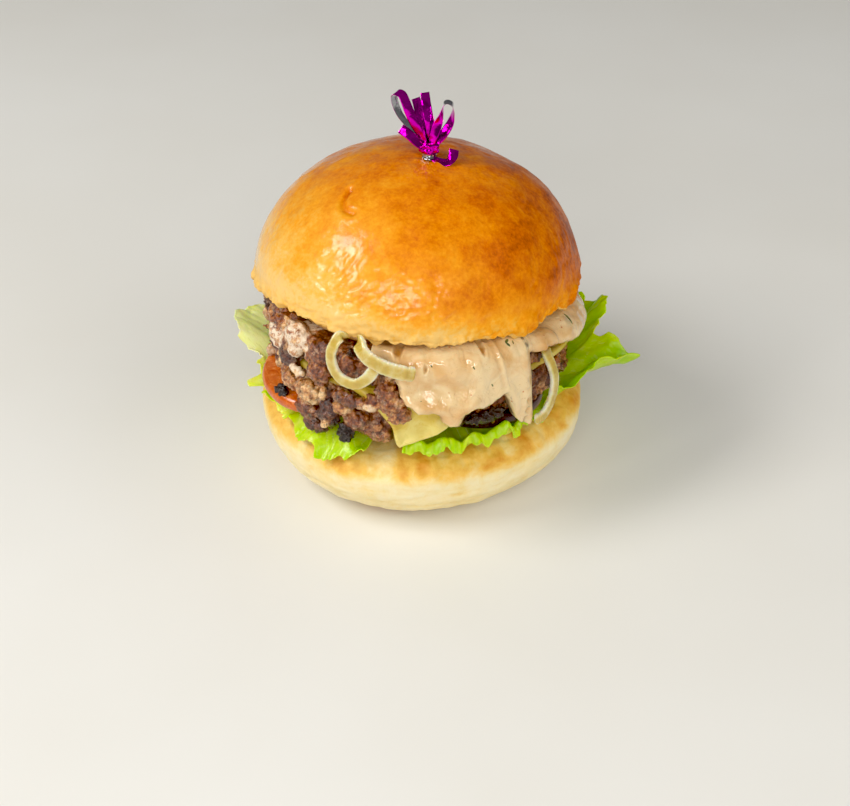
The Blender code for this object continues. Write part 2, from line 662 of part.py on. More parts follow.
def build_frill(material):
    """The foil wound round the stick's head, with its ribbons joined into one solid."""
    middle = Vector((*PICK_AT, 0))
    bands = ((BAND_LOW_RADIUS, BAND_LOW), (BAND_LOW_RADIUS, BAND_WAIST), (BAND_RADIUS, BAND_WAIST + 0.0006),
             (BAND_RADIUS * 0.92, BAND_TOP))
    rings = [[polar(360 * j / 10, r, z) + middle for j in range(10)] for r, z in bands]
    frill = stacked_rings("foil_frill", rings, material)
    ribbons = bpy.data.collections.new("ribbons")
    for k, (route, first, last) in enumerate(FOIL_RIBBONS):
        points = [middle + Vector((x * 0.001, y * 0.001, BAND_TOP + z * 0.001)) for x, y, z in route]
        path = smooth_path(points, FOIL_STATIONS)
        across = [Vector(first).lerp(Vector(last), i / FOIL_STATIONS) for i in range(FOIL_STATIONS + 1)]
        ribbon = swept(f"ribbon_{k}", path, across, FOIL_WIDTH, FOIL_THICKNESS * 1.41, 4, None, 2.0)
        bpy.context.scene.collection.objects.unlink(ribbon)
        ribbons.objects.link(ribbon)
    join = frill.modifiers.new("join", "BOOLEAN")
    join.operation = "UNION"
    join.operand_type = "COLLECTION"
    join.collection = ribbons
    drill(frill, "stick_socket", STICK_RADIUS + GAP, BAND_LOW - 0.002, STICK_TOP + GAP)
    graph = bpy.context.evaluated_depsgraph_get()
    joined = bpy.data.meshes.new_from_object(frill.evaluated_get(graph))
    frill.modifiers.clear()
    frill.data = joined
    for spare in [*ribbons.objects, bpy.data.objects["stick_socket"]]:
        bpy.data.objects.remove(spare)
    bpy.data.collections.remove(ribbons)
    return frill


def main():
    for old in list(bpy.data.objects):
        bpy.data.objects.remove(old)
    beef = finish("seared_beef", BEEF, 0.55)
    leaf = finish("lettuce", LETTUCE, 0.4)
    tomato = finish("tomato", TOMATO, 0.3)
    onion = finish("fried_onion", ONION, 0.25)
    build_heel(finish("pale_crust", PALE_CRUST, 0.7))
    for name, (ruffle, margin) in LEAVES.items():
        build_leaf(name, ruffle, margin, leaf)
    for name, (x, y, radius) in TOMATO_SLICES.items():
        build_tomato(name, x, y, radius, tomato)
    build_patty("patty_lower", LOWER_PATTY_LOW, LOWER_PATTY_TOP, 0.0, 3.1, LOWER_CHUNKS, SAG, beef)
    build_cheese(finish("melted_cheese", CHEESE, 0.35))
    build_patty(
        "patty_upper", UPPER_PATTY_LOW, UPPER_PATTY_TOP, UPPER_PATTY_SLOPE, 7.7, UPPER_CHUNKS, (0, 1, 0), beef
    )
    build_sauce(finish("sauce", SAUCE, 0.25))
    for name, route in ONIONS.items():
        build_onion(name, route, onion)
    build_crown(finish("glazed_crust", CRUST, 0.3))
    build_stick(finish("wood", WOOD, 0.6))
    build_frill(finish("foil", FOIL, 0.2, 1.0))


main()
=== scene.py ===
"""The looks of a cheeseburger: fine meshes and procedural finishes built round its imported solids.

Lengths are metres and angles are degrees from +X, with the front at -90. Every layer is laid out level, and
lean() then tilts the stack back, just as the solids are made.
"""

import logging
import math
from collections.abc import Callable, Iterable, Sequence
from dataclasses import dataclass
from enum import Enum
from functools import partial

import bmesh
import bpy
import numpy as np
from mathutils import Euler, Matrix, Vector, kdtree, noise


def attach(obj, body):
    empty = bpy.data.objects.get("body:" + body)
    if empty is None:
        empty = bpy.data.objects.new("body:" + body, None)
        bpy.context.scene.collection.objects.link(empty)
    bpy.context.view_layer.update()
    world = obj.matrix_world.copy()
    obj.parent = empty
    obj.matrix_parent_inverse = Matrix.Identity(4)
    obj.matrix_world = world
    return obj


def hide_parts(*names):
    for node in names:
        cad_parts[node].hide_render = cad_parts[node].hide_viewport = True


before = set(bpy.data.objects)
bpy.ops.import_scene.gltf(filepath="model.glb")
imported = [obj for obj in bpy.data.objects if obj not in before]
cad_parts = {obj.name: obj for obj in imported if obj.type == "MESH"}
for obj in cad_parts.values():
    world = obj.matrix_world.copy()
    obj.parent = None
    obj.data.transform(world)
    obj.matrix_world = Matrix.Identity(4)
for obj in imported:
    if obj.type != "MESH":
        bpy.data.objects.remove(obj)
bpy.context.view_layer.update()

log = logging.getLogger("cheeseburger")
Array = np.ndarray
Tree = bpy.types.NodeTree
Socket = bpy.types.NodeSocket
Material = bpy.types.Material
AddNode = Callable[..., Socket]
Range = tuple[float, float]
Stops = Sequence[tuple[float, str]]

MM = 0.001
HEEL_TOP = 0.0285
CROWN_CUT = 0.0675
LEAN = 8.0
BUN_RADIUS = 0.0565
GAP = 0.0004
RELIEF = "relief"


class Slot(Enum):
    """The record's material slots."""

    CRUST = "glazed_crust"
    PALE_CRUST = "pale_crust"
    BEEF = "seared_beef"
    CHEESE = "melted_cheese"
    SAUCE = "sauce"
    TOMATO = "tomato"
    LETTUCE = "lettuce"
    ONION = "fried_onion"
    WOOD = "birch_wood"
    FOIL = "metallised_foil"


# Numbers and noise


def eased(share: Array | float) -> Array | float:
    """0 to 1, with no slope at either end."""
    share = np.clip(share, 0.0, 1.0)
    return share * share * (3 - 2 * share)


def within(value: Array, middle: float, half: float) -> Array:
    """1 at the middle, easing to 0 a half width away."""
    return eased(1 - np.abs(value - middle) / half)


def signed(angle: Array | float) -> Array | float:
    """An angle in degrees from -180 to 180."""
    return (angle + 180) % 360 - 180


def polar(angle: Array | float, radius: Array | float, height: Array | float) -> Array:
    """Points at angles from +X in degrees, distances from the axis and heights."""
    turn = np.radians(angle)
    return np.stack(np.broadcast_arrays(radius * np.cos(turn), radius * np.sin(turn), height), axis=-1)


def lean(points: Array) -> Array:
    """The points once the stack leans back, level by level, with the crown turning as one piece."""
    x, y, z = points[..., 0], points[..., 1], points[..., 2]
    turn = math.radians(LEAN) * np.clip((z - HEEL_TOP) / (CROWN_CUT - HEEL_TOP), 0, 1)
    above = np.maximum(z - CROWN_CUT, 0)
    return np.stack([x, y + above * np.sin(turn), z - above - y * np.tan(turn) + above * np.cos(turn)], axis=-1)


def level_of(angle: float, radius: float, height: float) -> float:
    """The level that leans to a height above the floor at an angle and radius."""
    y, level = radius * math.sin(math.radians(angle)), height
    for _ in range(6):
        share = min(max((level - HEEL_TOP) / (CROWN_CUT - HEEL_TOP), 0), 1)
        level = height + y * math.tan(math.radians(LEAN) * share)
    return level


def through(rows: Sequence[Sequence[float]], angle: Array) -> Array:
    """The values of rows of (angle, value, ...) at each angle, eased from row to row.

    Args:
        rows: The rows, in rising order of angle.
        angle: Where to read them.

    Returns:
        One array for each value of a row, stacked along the last axis.
    """
    table = np.asarray(rows, float)
    angle = np.clip(angle, table[0, 0], table[-1, 0])
    k = np.clip(np.searchsorted(table[:, 0], angle, side="right") - 1, 0, len(table) - 2)
    share = eased((angle - table[k, 0]) / (table[k + 1, 0] - table[k, 0]))[..., None]
    return table[k, 1:] * (1 - share) + table[k + 1, 1:] * share


def smooth_path(points: Array, stations: int) -> Array:
    """A Catmull-Rom curve through the points, read at even steps of its parameter."""
    ends = np.vstack([points[0] * 2 - points[1], points, points[-1] * 2 - points[-2]])
    place = np.linspace(0, len(points) - 1, stations + 1)
    k = np.minimum(place.astype(int), len(points) - 2)
    t = (place - k)[:, None]
    a, b, c, d = ends[k], ends[k + 1], ends[k + 2], ends[k + 3]
    return (b * 2 + (c - a) * t + (a * 2 - b * 5 + c * 4 - d) * t**2 + (b * 3 - a - c * 3 + d) * t**3) / 2


def hashed(cells: Array, seed: int) -> Array:
    """A repeatable value from 0 to 1 for each whole-number cell."""
    x, y, z = (cells[..., k].astype(np.int64).astype(np.uint32) for k in range(3))
    mixed = x * np.uint32(73856093) ^ y * np.uint32(19349663) ^ z * np.uint32(83492791)
    mixed ^= np.uint32((seed * 2654435761 + 97) % 2**32)
    mixed ^= mixed >> np.uint32(13)
    mixed *= np.uint32(0x5BD1E995)
    mixed ^= mixed >> np.uint32(15)
    mixed *= np.uint32(0x27D4EB2F)
    mixed ^= mixed >> np.uint32(14)
    return mixed / 2.0**32


def wander(points: Array, size: float, seed: int = 0, octaves: int = 1) -> Array:
    """Smooth gradient noise from about -1 to 1.

    Args:
        points: Where to read it, in metres.
        size: The size of its largest features.
        seed: Chooses one of many alike.
        octaves: How many times finer detail is added.

    Returns:
        One value for each point.
    """
    flat = points.reshape(-1, 3)
    total = np.zeros(len(flat))
    for octave in range(octaves):
        spot = flat / size * 2**octave + seed * 7.31 + octave * 3.7
        low = np.floor(spot)
        share = spot - low
        blend = share**3 * (share * (share * 6 - 15) + 10)
        for corner in np.ndindex(2, 2, 2):
            weight = np.where(corner, blend, 1 - blend).prod(axis=1)
            slope = np.stack([hashed(low + corner, seed * 3 + k) * 2 - 1 for k in range(3)], axis=1)
            total += weight * ((share - corner) * slope).sum(axis=1) / 2**octave
    return (total * 1.9).reshape(points.shape[:-1])


def cells(points: Array, size: float, seed: int = 0) -> Array:
    """Rounded lumps packed side by side.

    Args:
        points: Where to read them, in metres.
        size: The spacing of the lumps.
        seed: Chooses one of many alike.

    Returns:
        How far each point is from the seam between lumps, near 1 on a lump and 0 in the seam.
    """
    flat = points.reshape(-1, 3) / size
    low = np.floor(flat)
    first = np.full(len(flat), 9.0)
    second = first.copy()
    for step in np.ndindex(3, 3, 3):
        cell = low + step - 1
        centre = cell + np.stack([hashed(cell, seed * 5 + k) for k in range(3)], axis=1)
        distance = np.linalg.norm(flat - centre, axis=1)
        second = np.minimum(second, np.maximum(first, distance))
        first = np.minimum(first, distance)
    return (1 - np.exp(-5 * (second - first))).reshape(points.shape[:-1])


def out_of_round(angles: Array, seed: float, amount: float) -> Array:
    """The slow wander of a bun half's radius round the axis."""
    found = [
        noise.noise(Vector((math.cos(turn) * 1.3, math.sin(turn) * 1.3, seed))) for turn in np.radians(angles)
    ]
    return amount * np.array(found)


# Meshes


def ring_faces(rings: int, sides: int, wrap: bool = True) -> Array:
    """Quads between rings of points that are stored one after another."""
    i, j = np.meshgrid(np.arange(rings - 1), np.arange(sides if wrap else sides - 1), indexing="ij")
    a, b = (i * sides + j).ravel(), (i * sides + (j + 1) % sides).ravel()
    return np.stack([a, b, b + sides, a + sides], axis=1)


def facing(grid: Array, wrap: bool = True) -> Array:
    """The unit normals of a grid of points, rows by columns."""
    down = np.gradient(grid, axis=0)
    along = (np.roll(grid, -1, 1) - np.roll(grid, 1, 1)) if wrap else np.gradient(grid, axis=1)
    normal = np.cross(along, down)
    return normal / np.maximum(np.linalg.norm(normal, axis=-1, keepdims=True), 1e-12)


@dataclass
class Shell:
    """A closed mesh in the making: its points, its faces and values kept for its points."""

    points: Array
    faces: list[Sequence[int]]
    values: dict[str, Array]
    second: Array | None = None

    @classmethod
    def stacked(cls, grid: Array, **values: Array) -> "Shell":
        """Rings from one end to the other, with a flat cap at both ends."""
        rings, sides = grid.shape[:2]
        faces = ring_faces(rings, sides).tolist()
        faces += [tuple(reversed(range(sides))), tuple(range((rings - 1) * sides, rings * sides))]
        return cls(grid.reshape(-1, 3), faces, {k: v.ravel() for k, v in values.items()})

    @classmethod
    def sheet(cls, under: Array, over: Array, closed_ring: bool = False, **values: Array) -> "Shell":
        """Two grids of points alike that meet in walls at the edges.

        Args:
            under: The lower face, rows by columns.
            over: The upper face.
            closed_ring: Whether the last column joins the first, which leaves no side edges.
            **values: Values for the points of a grid, used for both faces.

        Returns:
            The shell.
        """
        rows, columns = under.shape[:2]
        low = ring_faces(rows, columns, closed_ring)
        shift = rows * columns
        faces = low.tolist() + (low[:, ::-1] + shift).tolist()
        last = (rows - 1) * columns
        rims = [np.arange(columns) + last]
        if closed_ring:
            rims[0] = np.append(rims[0], last)
            faces += [tuple(range(columns)), tuple(reversed(range(shift, shift + columns)))]
        else:
            rims += [np.arange(columns), np.arange(rows) * columns, np.arange(rows) * columns + columns - 1]
        for rim in rims:
            faces += np.stack([rim[:-1], rim[1:], rim[1:] + shift, rim[:-1] + shift], axis=1).tolist()
        both = {k: np.concatenate([v.ravel(), v.ravel()]) for k, v in values.items()}
        return cls(np.concatenate([under.reshape(-1, 3), over.reshape(-1, 3)]), faces, both)

    @classmethod
    def joined(cls, shells: Iterable["Shell"]) -> "Shell":
        """Several shells as one, with the values that they all hold."""
        shells = list(shells)
        points, faces, start = [], [], 0
        for shell in shells:
            points.append(shell.points)
            faces += [[k + start for k in face] for face in shell.faces]
            start += len(shell.points)
        values = {k: np.concatenate([s.values[k] for s in shells]) for k in shells[0].values}
        second = None
        if any(s.second is not None for s in shells):
            second = np.concatenate([np.zeros(len(s.faces)) if s.second is None else s.second for s in shells])
        return cls(np.concatenate(points), faces, values, second)

    def mesh(self, name: str) -> bpy.types.Mesh:
        """The mesh, its faces turned outwards and shaded smooth."""
        made = bpy.data.meshes.new(name)
        made.from_pydata(self.points.tolist(), [], self.faces)
        if self.second is not None:
            made.polygons.foreach_set("material_index", self.second.astype(np.int32))
        body = bmesh.new()
        body.from_mesh(made)
        bmesh.ops.recalc_face_normals(body, faces=body.faces)
        body.to_mesh(made)
        body.free()
        for key, value in self.values.items():
            made.attributes.new(key, "FLOAT", "POINT").data.foreach_set("value", value.astype(np.float32))
        made.shade_smooth()
        return made

    def show(
        self, name: str, slot: Slot, nodes: Sequence[str], *materials: Material
    ) -> bpy.types.Object:
        """Puts the piece in the scene in place of its solids.

        Args:
            name: The piece's name.
            nodes: The solids that it stands for.
            *materials: Its finishes, the first for faces that ask for no other.

        Returns:
            The piece.
        """
        made = self.mesh(name)
        for material in materials:
            made.materials.append(material)
        return show(bpy.data.objects.new(name, made), nodes)


def show(piece: bpy.types.Object, nodes: Sequence[str] = ()) -> bpy.types.Object:
    """Links a piece, lets it ride on the body and reports it."""
    bpy.context.scene.collection.objects.link(piece)
    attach(piece, "root")
    if nodes:
        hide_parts(*nodes)
    log.info("%s: %d faces", piece.name, len(piece.data.polygons))
    return piece


def swept(path: Array, across: Array, width: Array, thickness: Array, sides: int, power: float = 2.0) -> Array:
    """Rings of a strip along a path.

    Args:
        path: The middle line.
        across: The direction of the strip's width at each station.
        width: Its width at each station.
        thickness: Its thickness at each station.
        sides: Points round the strip.
        power: 2 for an oval section, more for a squarer one.

    Returns:
        The rings, stations by sides.
    """
    ahead = np.gradient(path, axis=0)
    ahead /= np.linalg.norm(ahead, axis=1, keepdims=True)
    side = across - ahead * (across * ahead).sum(axis=1, keepdims=True)
    side /= np.linalg.norm(side, axis=1, keepdims=True)
    face = np.cross(ahead, side)
    turn = 2 * np.pi * (np.arange(sides) + 0.5) / sides
    wide = np.sign(np.cos(turn)) * np.abs(np.cos(turn)) ** (2 / power) / 2
    deep = np.sign(np.sin(turn)) * np.abs(np.sin(turn)) ** (2 / power) / 2
    wide = wide[None, :, None] * width[:, None, None]
    deep = deep[None, :, None] * thickness[:, None, None]
    return path[:, None] + side[:, None] * wide + face[:, None] * deep


# Materials


def linear(colour: str) -> tuple[float, float, float, float]:
    """A linear colour from an sRGB hex value such as "c8681a"."""
    shares = [int(colour[k : k + 2], 16) / 255 for k in (0, 2, 4)]
    return (*(s / 12.92 if s <= 0.04045 else ((s + 0.055) / 1.055) ** 2.4 for s in shares), 1.0)


def add_node(
    tree: Tree,
    kind: str,
    inputs: dict[str | int, object] | Sequence[object] = (),
    output: str | int = 0,
    stops: Stops = (),
    size_mm: float = 0.0,
    **settings: object,
) -> Socket:
    """Adds a shader node with its settings and links.

    Args:
        tree: The tree that it joins.
        kind: The node's type, without the words ShaderNode.
        inputs: A value, an sRGB hex colour or another node's output for each input, by name or in order.
        output: The output that is wanted.
        stops: The places and colours of a colour ramp.
        size_mm: The real size of a texture's features, laid out in the piece's own space.
        **settings: The node's own settings.

    Returns:
        The output.
    """
    node = tree.nodes.new("ShaderNode" + kind)
    for key, value in settings.items():
        setattr(node, key, value)
    given = dict(inputs if isinstance(inputs, dict) else enumerate(inputs))
    if size_mm:
        given["Scale"] = 1 / (size_mm * MM)
        if "Vector" not in given:
            given["Vector"] = add_node(tree, "TexCoord", output="Object")
    for key, value in given.items():
        socket = node.inputs[key]
        if isinstance(value, Socket):
            tree.links.new(value, socket)
        else:
            socket.default_value = linear(value) if isinstance(value, str) else value
    for k, (place, colour) in enumerate(stops):
        ramp = node.color_ramp.elements
        element = ramp[k] if k < len(ramp) else ramp.new(place)
        element.position, element.color = place, linear(colour)
    return node.outputs[output]


def shaded(add: AddNode, value: Socket, parts: Iterable[tuple[Socket, Range, Range]], stops: Stops) -> Socket:
    """The colours of a ramp at a value that textures shift.

    Args:
        add: Adds a node to the finish's tree.
        value: The value that the mesh keeps for its points.
        parts: Each texture, its own range and the range that it adds.
        stops: The ramp.

    Returns:
        The colour.
    """
    for texture, old, new in parts:
        value = add("Math", [value, add("MapRange", [texture, *old, *new])])
    return add("ValToRGB", [value], stops=stops)


@dataclass(frozen=True)
class Finish:
    """A food or film surface on one Principled shader; each kind adds its own pattern."""

    name: str
    roughness: float = 0.5
    ior: float = 1.45
    metallic: float = 0.0
    coat: float = 0.0
    coat_roughness: float = 0.2
    subsurface: float = 0.0
    subsurface_mm: float = 2.0
    scatter: tuple[float, float, float] = (1.0, 0.55, 0.3)
    specular: float = 0.5
    transmission: float = 0.0
    bump: float = 0.3
    bump_mm: float = 0.3

    def make(self) -> Material:
        """The material, with its even values set and its pattern linked."""
        material = bpy.data.materials.new(self.name)
        material.use_nodes = True
        tree = material.node_tree
        shader = tree.nodes["Principled BSDF"]
        for key, value in (
            ("Roughness", self.roughness),
            ("IOR", self.ior),
            ("Metallic", self.metallic),
            ("Coat Weight", self.coat),
            ("Coat Roughness", self.coat_roughness),
            ("Subsurface Weight", self.subsurface),
            ("Subsurface Scale", self.subsurface_mm * MM),
            ("Subsurface Radius", self.scatter),
            ("Specular IOR Level", self.specular),
            ("Transmission Weight", self.transmission),
        ):
            shader.inputs[key].default_value = value
        links = self.pattern(partial(add_node, tree))
        if RELIEF in links:
            relief = {"Height": links.pop(RELIEF), "Strength": self.bump, "Distance": self.bump_mm * MM}
            links["Normal"] = links["Coat Normal"] = add_node(tree, "Bump", relief)
        for key, socket in links.items():
            tree.links.new(socket, shader.inputs[key])
        return material

    def pattern(self, add: AddNode) -> dict[str, Socket]:
        """What varies over the surface.

        Args:
            add: Adds a node to the finish's tree.

        Returns:
            An output for each of the shader's inputs that vary, and for the relief.
        """
        raise NotImplementedError


@dataclass(frozen=True)
class EggWashedCrust(Finish):
    """Brioche crust, brushed with egg and baked: a thin glossy skin over golden to brown bread, dull where
    the crumb shows at the torn edge. The pores of about 0.7 mm are drawn a little coarser than they are."""

    pore_mm: float = 1.1
    mottle_mm: float = 3.4
    blotch_mm: float = 9.0
    stops: Stops = (
        (0.0, "e6bb6c"), (0.16, "e8ae46"), (0.34, "ea9c1e"), (0.55, "de840a"), (0.78, "c46203"), (1.0, "8e3c02"),
    )  # fmt: skip

    def pattern(self, add: AddNode) -> dict[str, Socket]:
        """Blotches and pores round the baked shade, with its painted light and shade, that the mesh keeps, and a patchy
        glaze.
        """
        blotch = add("TexNoise", {"Detail": 4.0, "Roughness": 0.6, "Distortion": 0.6}, size_mm=self.blotch_mm)
        mottle = add("TexNoise", {"Detail": 3.0, "Roughness": 0.65, "Distortion": 0.4}, size_mm=self.mottle_mm)
        pore = add("TexNoise", {"Roughness": 0.6}, size_mm=self.pore_mm)
        smear = add("TexNoise", {"Detail": 3.0, "Roughness": 0.6, "Distortion": 1.2}, size_mm=5.0)
        skin = add("TexNoise", {"Detail": 3.0, "Roughness": 0.65}, size_mm=1.0)
        crumb = add("TexNoise", {"Detail": 4.0, "Roughness": 0.7}, size_mm=2.2)
        bake = add("Attribute", output="Fac", attribute_name="bake")
        glaze = add("Attribute", output="Fac", attribute_name="glaze")
        gloss = add("Math", [glaze, smear], operation="MULTIPLY")
        patchy = add("Math", [glaze, add("MapRange", [smear, 0.34, 0.50, 0.30, 1.0])], operation="MULTIPLY")
        parts = (
            (blotch, (0.0, 1.0), (-0.20, 0.20)),
            (mottle, (0.30, 0.70), (-0.08, 0.08)),
            (pore, (0.35, 0.65), (0.06, -0.06)),
        )
        return {
            "Base Color": shaded(add, bake, parts, self.stops),
            "Roughness": add("MapRange", [gloss, 0.15, 0.55, 0.62, 0.34]),
            "Coat Weight": add("MapRange", [patchy, 0.0, 1.0, 0.0, self.coat]),
            RELIEF: add("Mix", {0: glaze, 6: crumb, 7: skin}, 2, data_type="RGBA"),
        }


@dataclass(frozen=True)
class PaleCrust(Finish):
    """The lower bun's soft side, baked in the tin and barely browned, with a toasted shoulder: matt, faintly
    wrinkled and floury."""

    stops: Stops = ((0.0, "f0e4be"), (0.25, "ecd69a"), (0.5, "e6b856"), (0.75, "d08a26"), (1.0, "8a4714"))

    def pattern(self, add: AddNode) -> dict[str, Socket]:
        """Toasted and pale blotches, and the dry surface's fine relief."""
        blotch = add("TexNoise", {"Detail": 4.0, "Roughness": 0.68, "Distortion": 1.0}, size_mm=6.0)
        streak = add("TexNoise", {"Detail": 3.0, "Roughness": 0.7}, size_mm=2.4)
        bake = add("Attribute", output="Fac", attribute_name="bake")
        parts = ((blotch, (0.0, 1.0), (-0.21, 0.21)), (streak, (0.0, 1.0), (-0.11, 0.11)))
        return {
            "Base Color": shaded(add, bake, parts, self.stops),
            RELIEF: add("TexNoise", {"Detail": 4.0, "Roughness": 0.65}, size_mm=1.4),
        }


@dataclass(frozen=True)
class SearedBeef(Finish):
    """Coarse beef mince seared on a plate: brown granules of 1 to 2 mm wet with fat, tan where the fat has
    set, black where it has charred, and whitish under a film of sauce."""

    granule_mm: float = 1.3
    fleck_mm: float = 1.7
    stops: Stops = ((0.0, "371206"), (0.25, "6c2e12"), (0.5, "9c5728"), (0.75, "cc8e50"), (1.0, "f0c890"))

    def pattern(self, add: AddNode) -> dict[str, Socket]:
        """Granules in the shade of their lump, with painted shade in the seams between lumps, char, pale flecks that
        are partly fat and partly painted glints, and sauce film.
        """
        tone, crack, char, film = (
            add("Attribute", output="Fac", attribute_name=name) for name in ("tone", "crack", "char", "film")
        )
        granules = add("TexVoronoi", output="Color", size_mm=self.granule_mm)
        flecks = add("TexVoronoi", output="Color", size_mm=self.fleck_mm)
        grain = add("TexNoise", {"Detail": 4.0, "Roughness": 0.7}, size_mm=0.9)
        smear = add("TexNoise", {"Detail": 4.0, "Roughness": 0.65}, size_mm=2.6)
        wet = add("TexNoise", {"Detail": 3.0, "Roughness": 0.6}, size_mm=3.5)
        each = add("SeparateColor", [granules], "Red")
        parts = ((each, (0.0, 1.0), (-0.13, 0.13)), (grain, (0.0, 1.0), (-0.47, 0.48)))
        # Pale flecks, partly fat and partly painted glints of the wet meat
        fat = add("MapRange", [add("SeparateColor", [flecks], "Green"), 0.80, 0.92, 0.0, 0.55])
        fat = add("Math", [fat, grain], operation="MULTIPLY")
        film = add("Math", [film, add("MapRange", [smear, 0.43, 0.54, 0.04, 0.95])], operation="MULTIPLY")
        colour = shaded(add, tone, parts, self.stops)
        # Over the granules: pale flecks, partly fat and partly painted glints, then painted shade in the seams, char
        # and sauce film
        for share, over in ((fat, "f0cfa4"), (crack, "140804"), (char, "241006"), (film, "f0dcc0")):
            colour = add("Mix", {0: share, 6: colour, 7: over}, 2, data_type="RGBA")
        height = [grain, granules.node.outputs["Distance"]]
        return {
            "Base Color": colour,
            "Roughness": add("MapRange", [wet, 0.35, 0.65, 0.20, 0.55]),
            "Coat Weight": add("Math", [char, -0.15 * self.coat, self.coat], operation="MULTIPLY_ADD"),
            RELIEF: add("Math", height, operation="SUBTRACT"),
        }


@dataclass(frozen=True)
class MeltedCheese(Finish):
    """Processed cheese slice melted on the patty: pale, waxy and slightly translucent, with a soft sheen and
    a whiter bloom where it has stretched."""

    stops: Stops = ((0.3, "d9c76e"), (0.5, "ceb444"), (0.72, "bc9824"))

    def pattern(self, add: AddNode) -> dict[str, Socket]:
        """Whiter and yellower drifts, with soft dents."""
        drift = add("TexNoise", {"Detail": 4.0, "Roughness": 0.6, "Distortion": 1.0}, size_mm=8.0)
        fine = add("TexNoise", {"Detail": 4.0, "Roughness": 0.6}, size_mm=2.4)
        melt = add("Attribute", output="Fac", attribute_name="melt")
        return {
            "Base Color": add("ValToRGB", [add("Math", [drift, melt])], stops=self.stops),
            "Roughness": add("MapRange", [fine, 0.35, 0.65, 0.24, 0.42]),
            RELIEF: add("Math", [fine, drift]),
        }


@dataclass(frozen=True)
class BurgerSauce(Finish):
    """Mayonnaise sauce stirred with relish and paprika: opaque, peach to cream, glossy and wet, with orange
    specks of spice about 0.4 mm across."""

    speck_spacing_mm: float = 3.4
    stops: Stops = ((0.28, "e3c898"), (0.5, "d8b078"), (0.75, "c68f46"), (1.0, "b07632"))

    def pattern(self, add: AddNode) -> dict[str, Socket]:
        """Cream and peach drifts, spice specks, and the shallow dents of a thick liquid."""
        drift = add("TexNoise", {"Detail": 3.0, "Roughness": 0.55, "Distortion": 0.8}, size_mm=10.0)
        specks = add("TexVoronoi", output="Color", size_mm=self.speck_spacing_mm)
        dust = add("TexNoise", {"Roughness": 0.5}, size_mm=0.7)
        thin = add("Attribute", output="Fac", attribute_name="thin")
        few = add("Math", [add("SeparateColor", [specks], "Red"), 0.62], operation="GREATER_THAN")
        near = add("MapRange", [specks.node.outputs["Distance"], 0.07, 0.12, 0.85, 0.0])
        near = add("Math", [near, few], operation="MULTIPLY")
        colour = add("ValToRGB", [add("Math", [drift, thin])], stops=self.stops)
        for share, over in ((near, "bd5f16"), (add("MapRange", [dust, 0.66, 0.74, 0.0, 0.35]), "a87a48")):
            colour = add("Mix", {0: share, 6: colour, 7: over}, 2, data_type="RGBA")
        dent = add("TexNoise", {"Detail": 2.5, "Roughness": 0.5, "Distortion": 0.5}, size_mm=3.6)
        return {"Base Color": colour, RELIEF: dent}


@dataclass(frozen=True)
class Tomato(Finish):
    """Ripe tomato, cut with a knife: smooth waxy orange-red skin, and a wet cut face with paler flesh. A dark maroon
    copy of it paints the shadow over a slice that lies in shade."""

    flesh: Stops = ((0.3, "bc4e16"), (0.55, "d6742a"), (0.75, "e8a060"))
    skin: Stops = ((0.3, "ae4a0e"), (0.6, "c86418"), (0.8, "de9038"))

    def pattern(self, add: AddNode) -> dict[str, Socket]:
        """Skin at the rim and streaked flesh on the cut faces."""
        streak = add("TexNoise", {"Detail": 3.0, "Roughness": 0.55, "Distortion": 1.5}, size_mm=3.0)
        rim = add("Attribute", output="Fac", attribute_name="rim")
        flesh, skin = (add("ValToRGB", [streak], stops=stops) for stops in (self.flesh, self.skin))
        return {"Base Color": add("Mix", {0: rim, 6: flesh, 7: skin}, 2, data_type="RGBA"), RELIEF: streak}


@dataclass(frozen=True)
class CurlyLettuce(Finish):
    """Fresh curly lettuce: a thin waxy leaf that lets light through, bright green at its frilled margin,
    almost white at the ribs, with veins about 3 mm apart."""

    stops: Stops = ((0.0, "e8fcb0"), (0.25, "dcf062"), (0.5, "bedc18"), (0.75, "a0cc04"), (1.0, "70a204"))

    def pattern(self, add: AddNode) -> dict[str, Socket]:
        """The leaf's own pale to green shade, its veins and its blistered relief."""
        patch = add("TexNoise", {"Detail": 3.0, "Roughness": 0.6, "Distortion": 0.8}, size_mm=6.0)
        fine = add("TexNoise", {"Detail": 3.0, "Roughness": 0.6}, size_mm=1.6)
        green, vein = (add("Attribute", output="Fac", attribute_name=name) for name in ("green", "vein"))
        parts = ((patch, (0.0, 1.0), (-0.2, 0.2)), (fine, (0.0, 1.0), (-0.08, 0.08)))
        ribbed = add("Math", [vein, 0.55], operation="MULTIPLY")
        blade = shaded(add, green, parts, self.stops)
        return {
            "Base Color": add("Mix", {0: ribbed, 6: blade, 7: "dcea9c"}, 2, data_type="RGBA"),
            RELIEF: add("Math", [vein, -0.8, fine], operation="MULTIPLY_ADD"),
        }


@dataclass(frozen=True)
class FriedOnion(Finish):
    """Onion softened in fat: yellowish, see-through like wet glass, with fine lengthwise fibres."""

    stops: Stops = ((0.2, "fffbe2"), (0.42, "f4e6a4"), (0.62, "dcc056"), (1.0, "a47a1c"))

    def pattern(self, add: AddNode) -> dict[str, Socket]:
        """Painted highlights along the rims of each strip, tone that varies along it, and browner ends."""
        cloud = add("TexNoise", {"Detail": 3.0, "Roughness": 0.6}, size_mm=2.4)
        fibre, brown = (add("Attribute", output="Fac", attribute_name=name) for name in ("fibre", "brown"))
        shade = add("Math", [fibre, -0.42, add("Math", [brown, 0.44])], operation="MULTIPLY_ADD")
        return {
            "Base Color": shaded(add, shade, ((cloud, (0.0, 1.0), (0.0, 0.36)),), self.stops),
            RELIEF: add("TexNoise", {"Detail": 3.0, "Roughness": 0.6}, size_mm=1.8),
        }


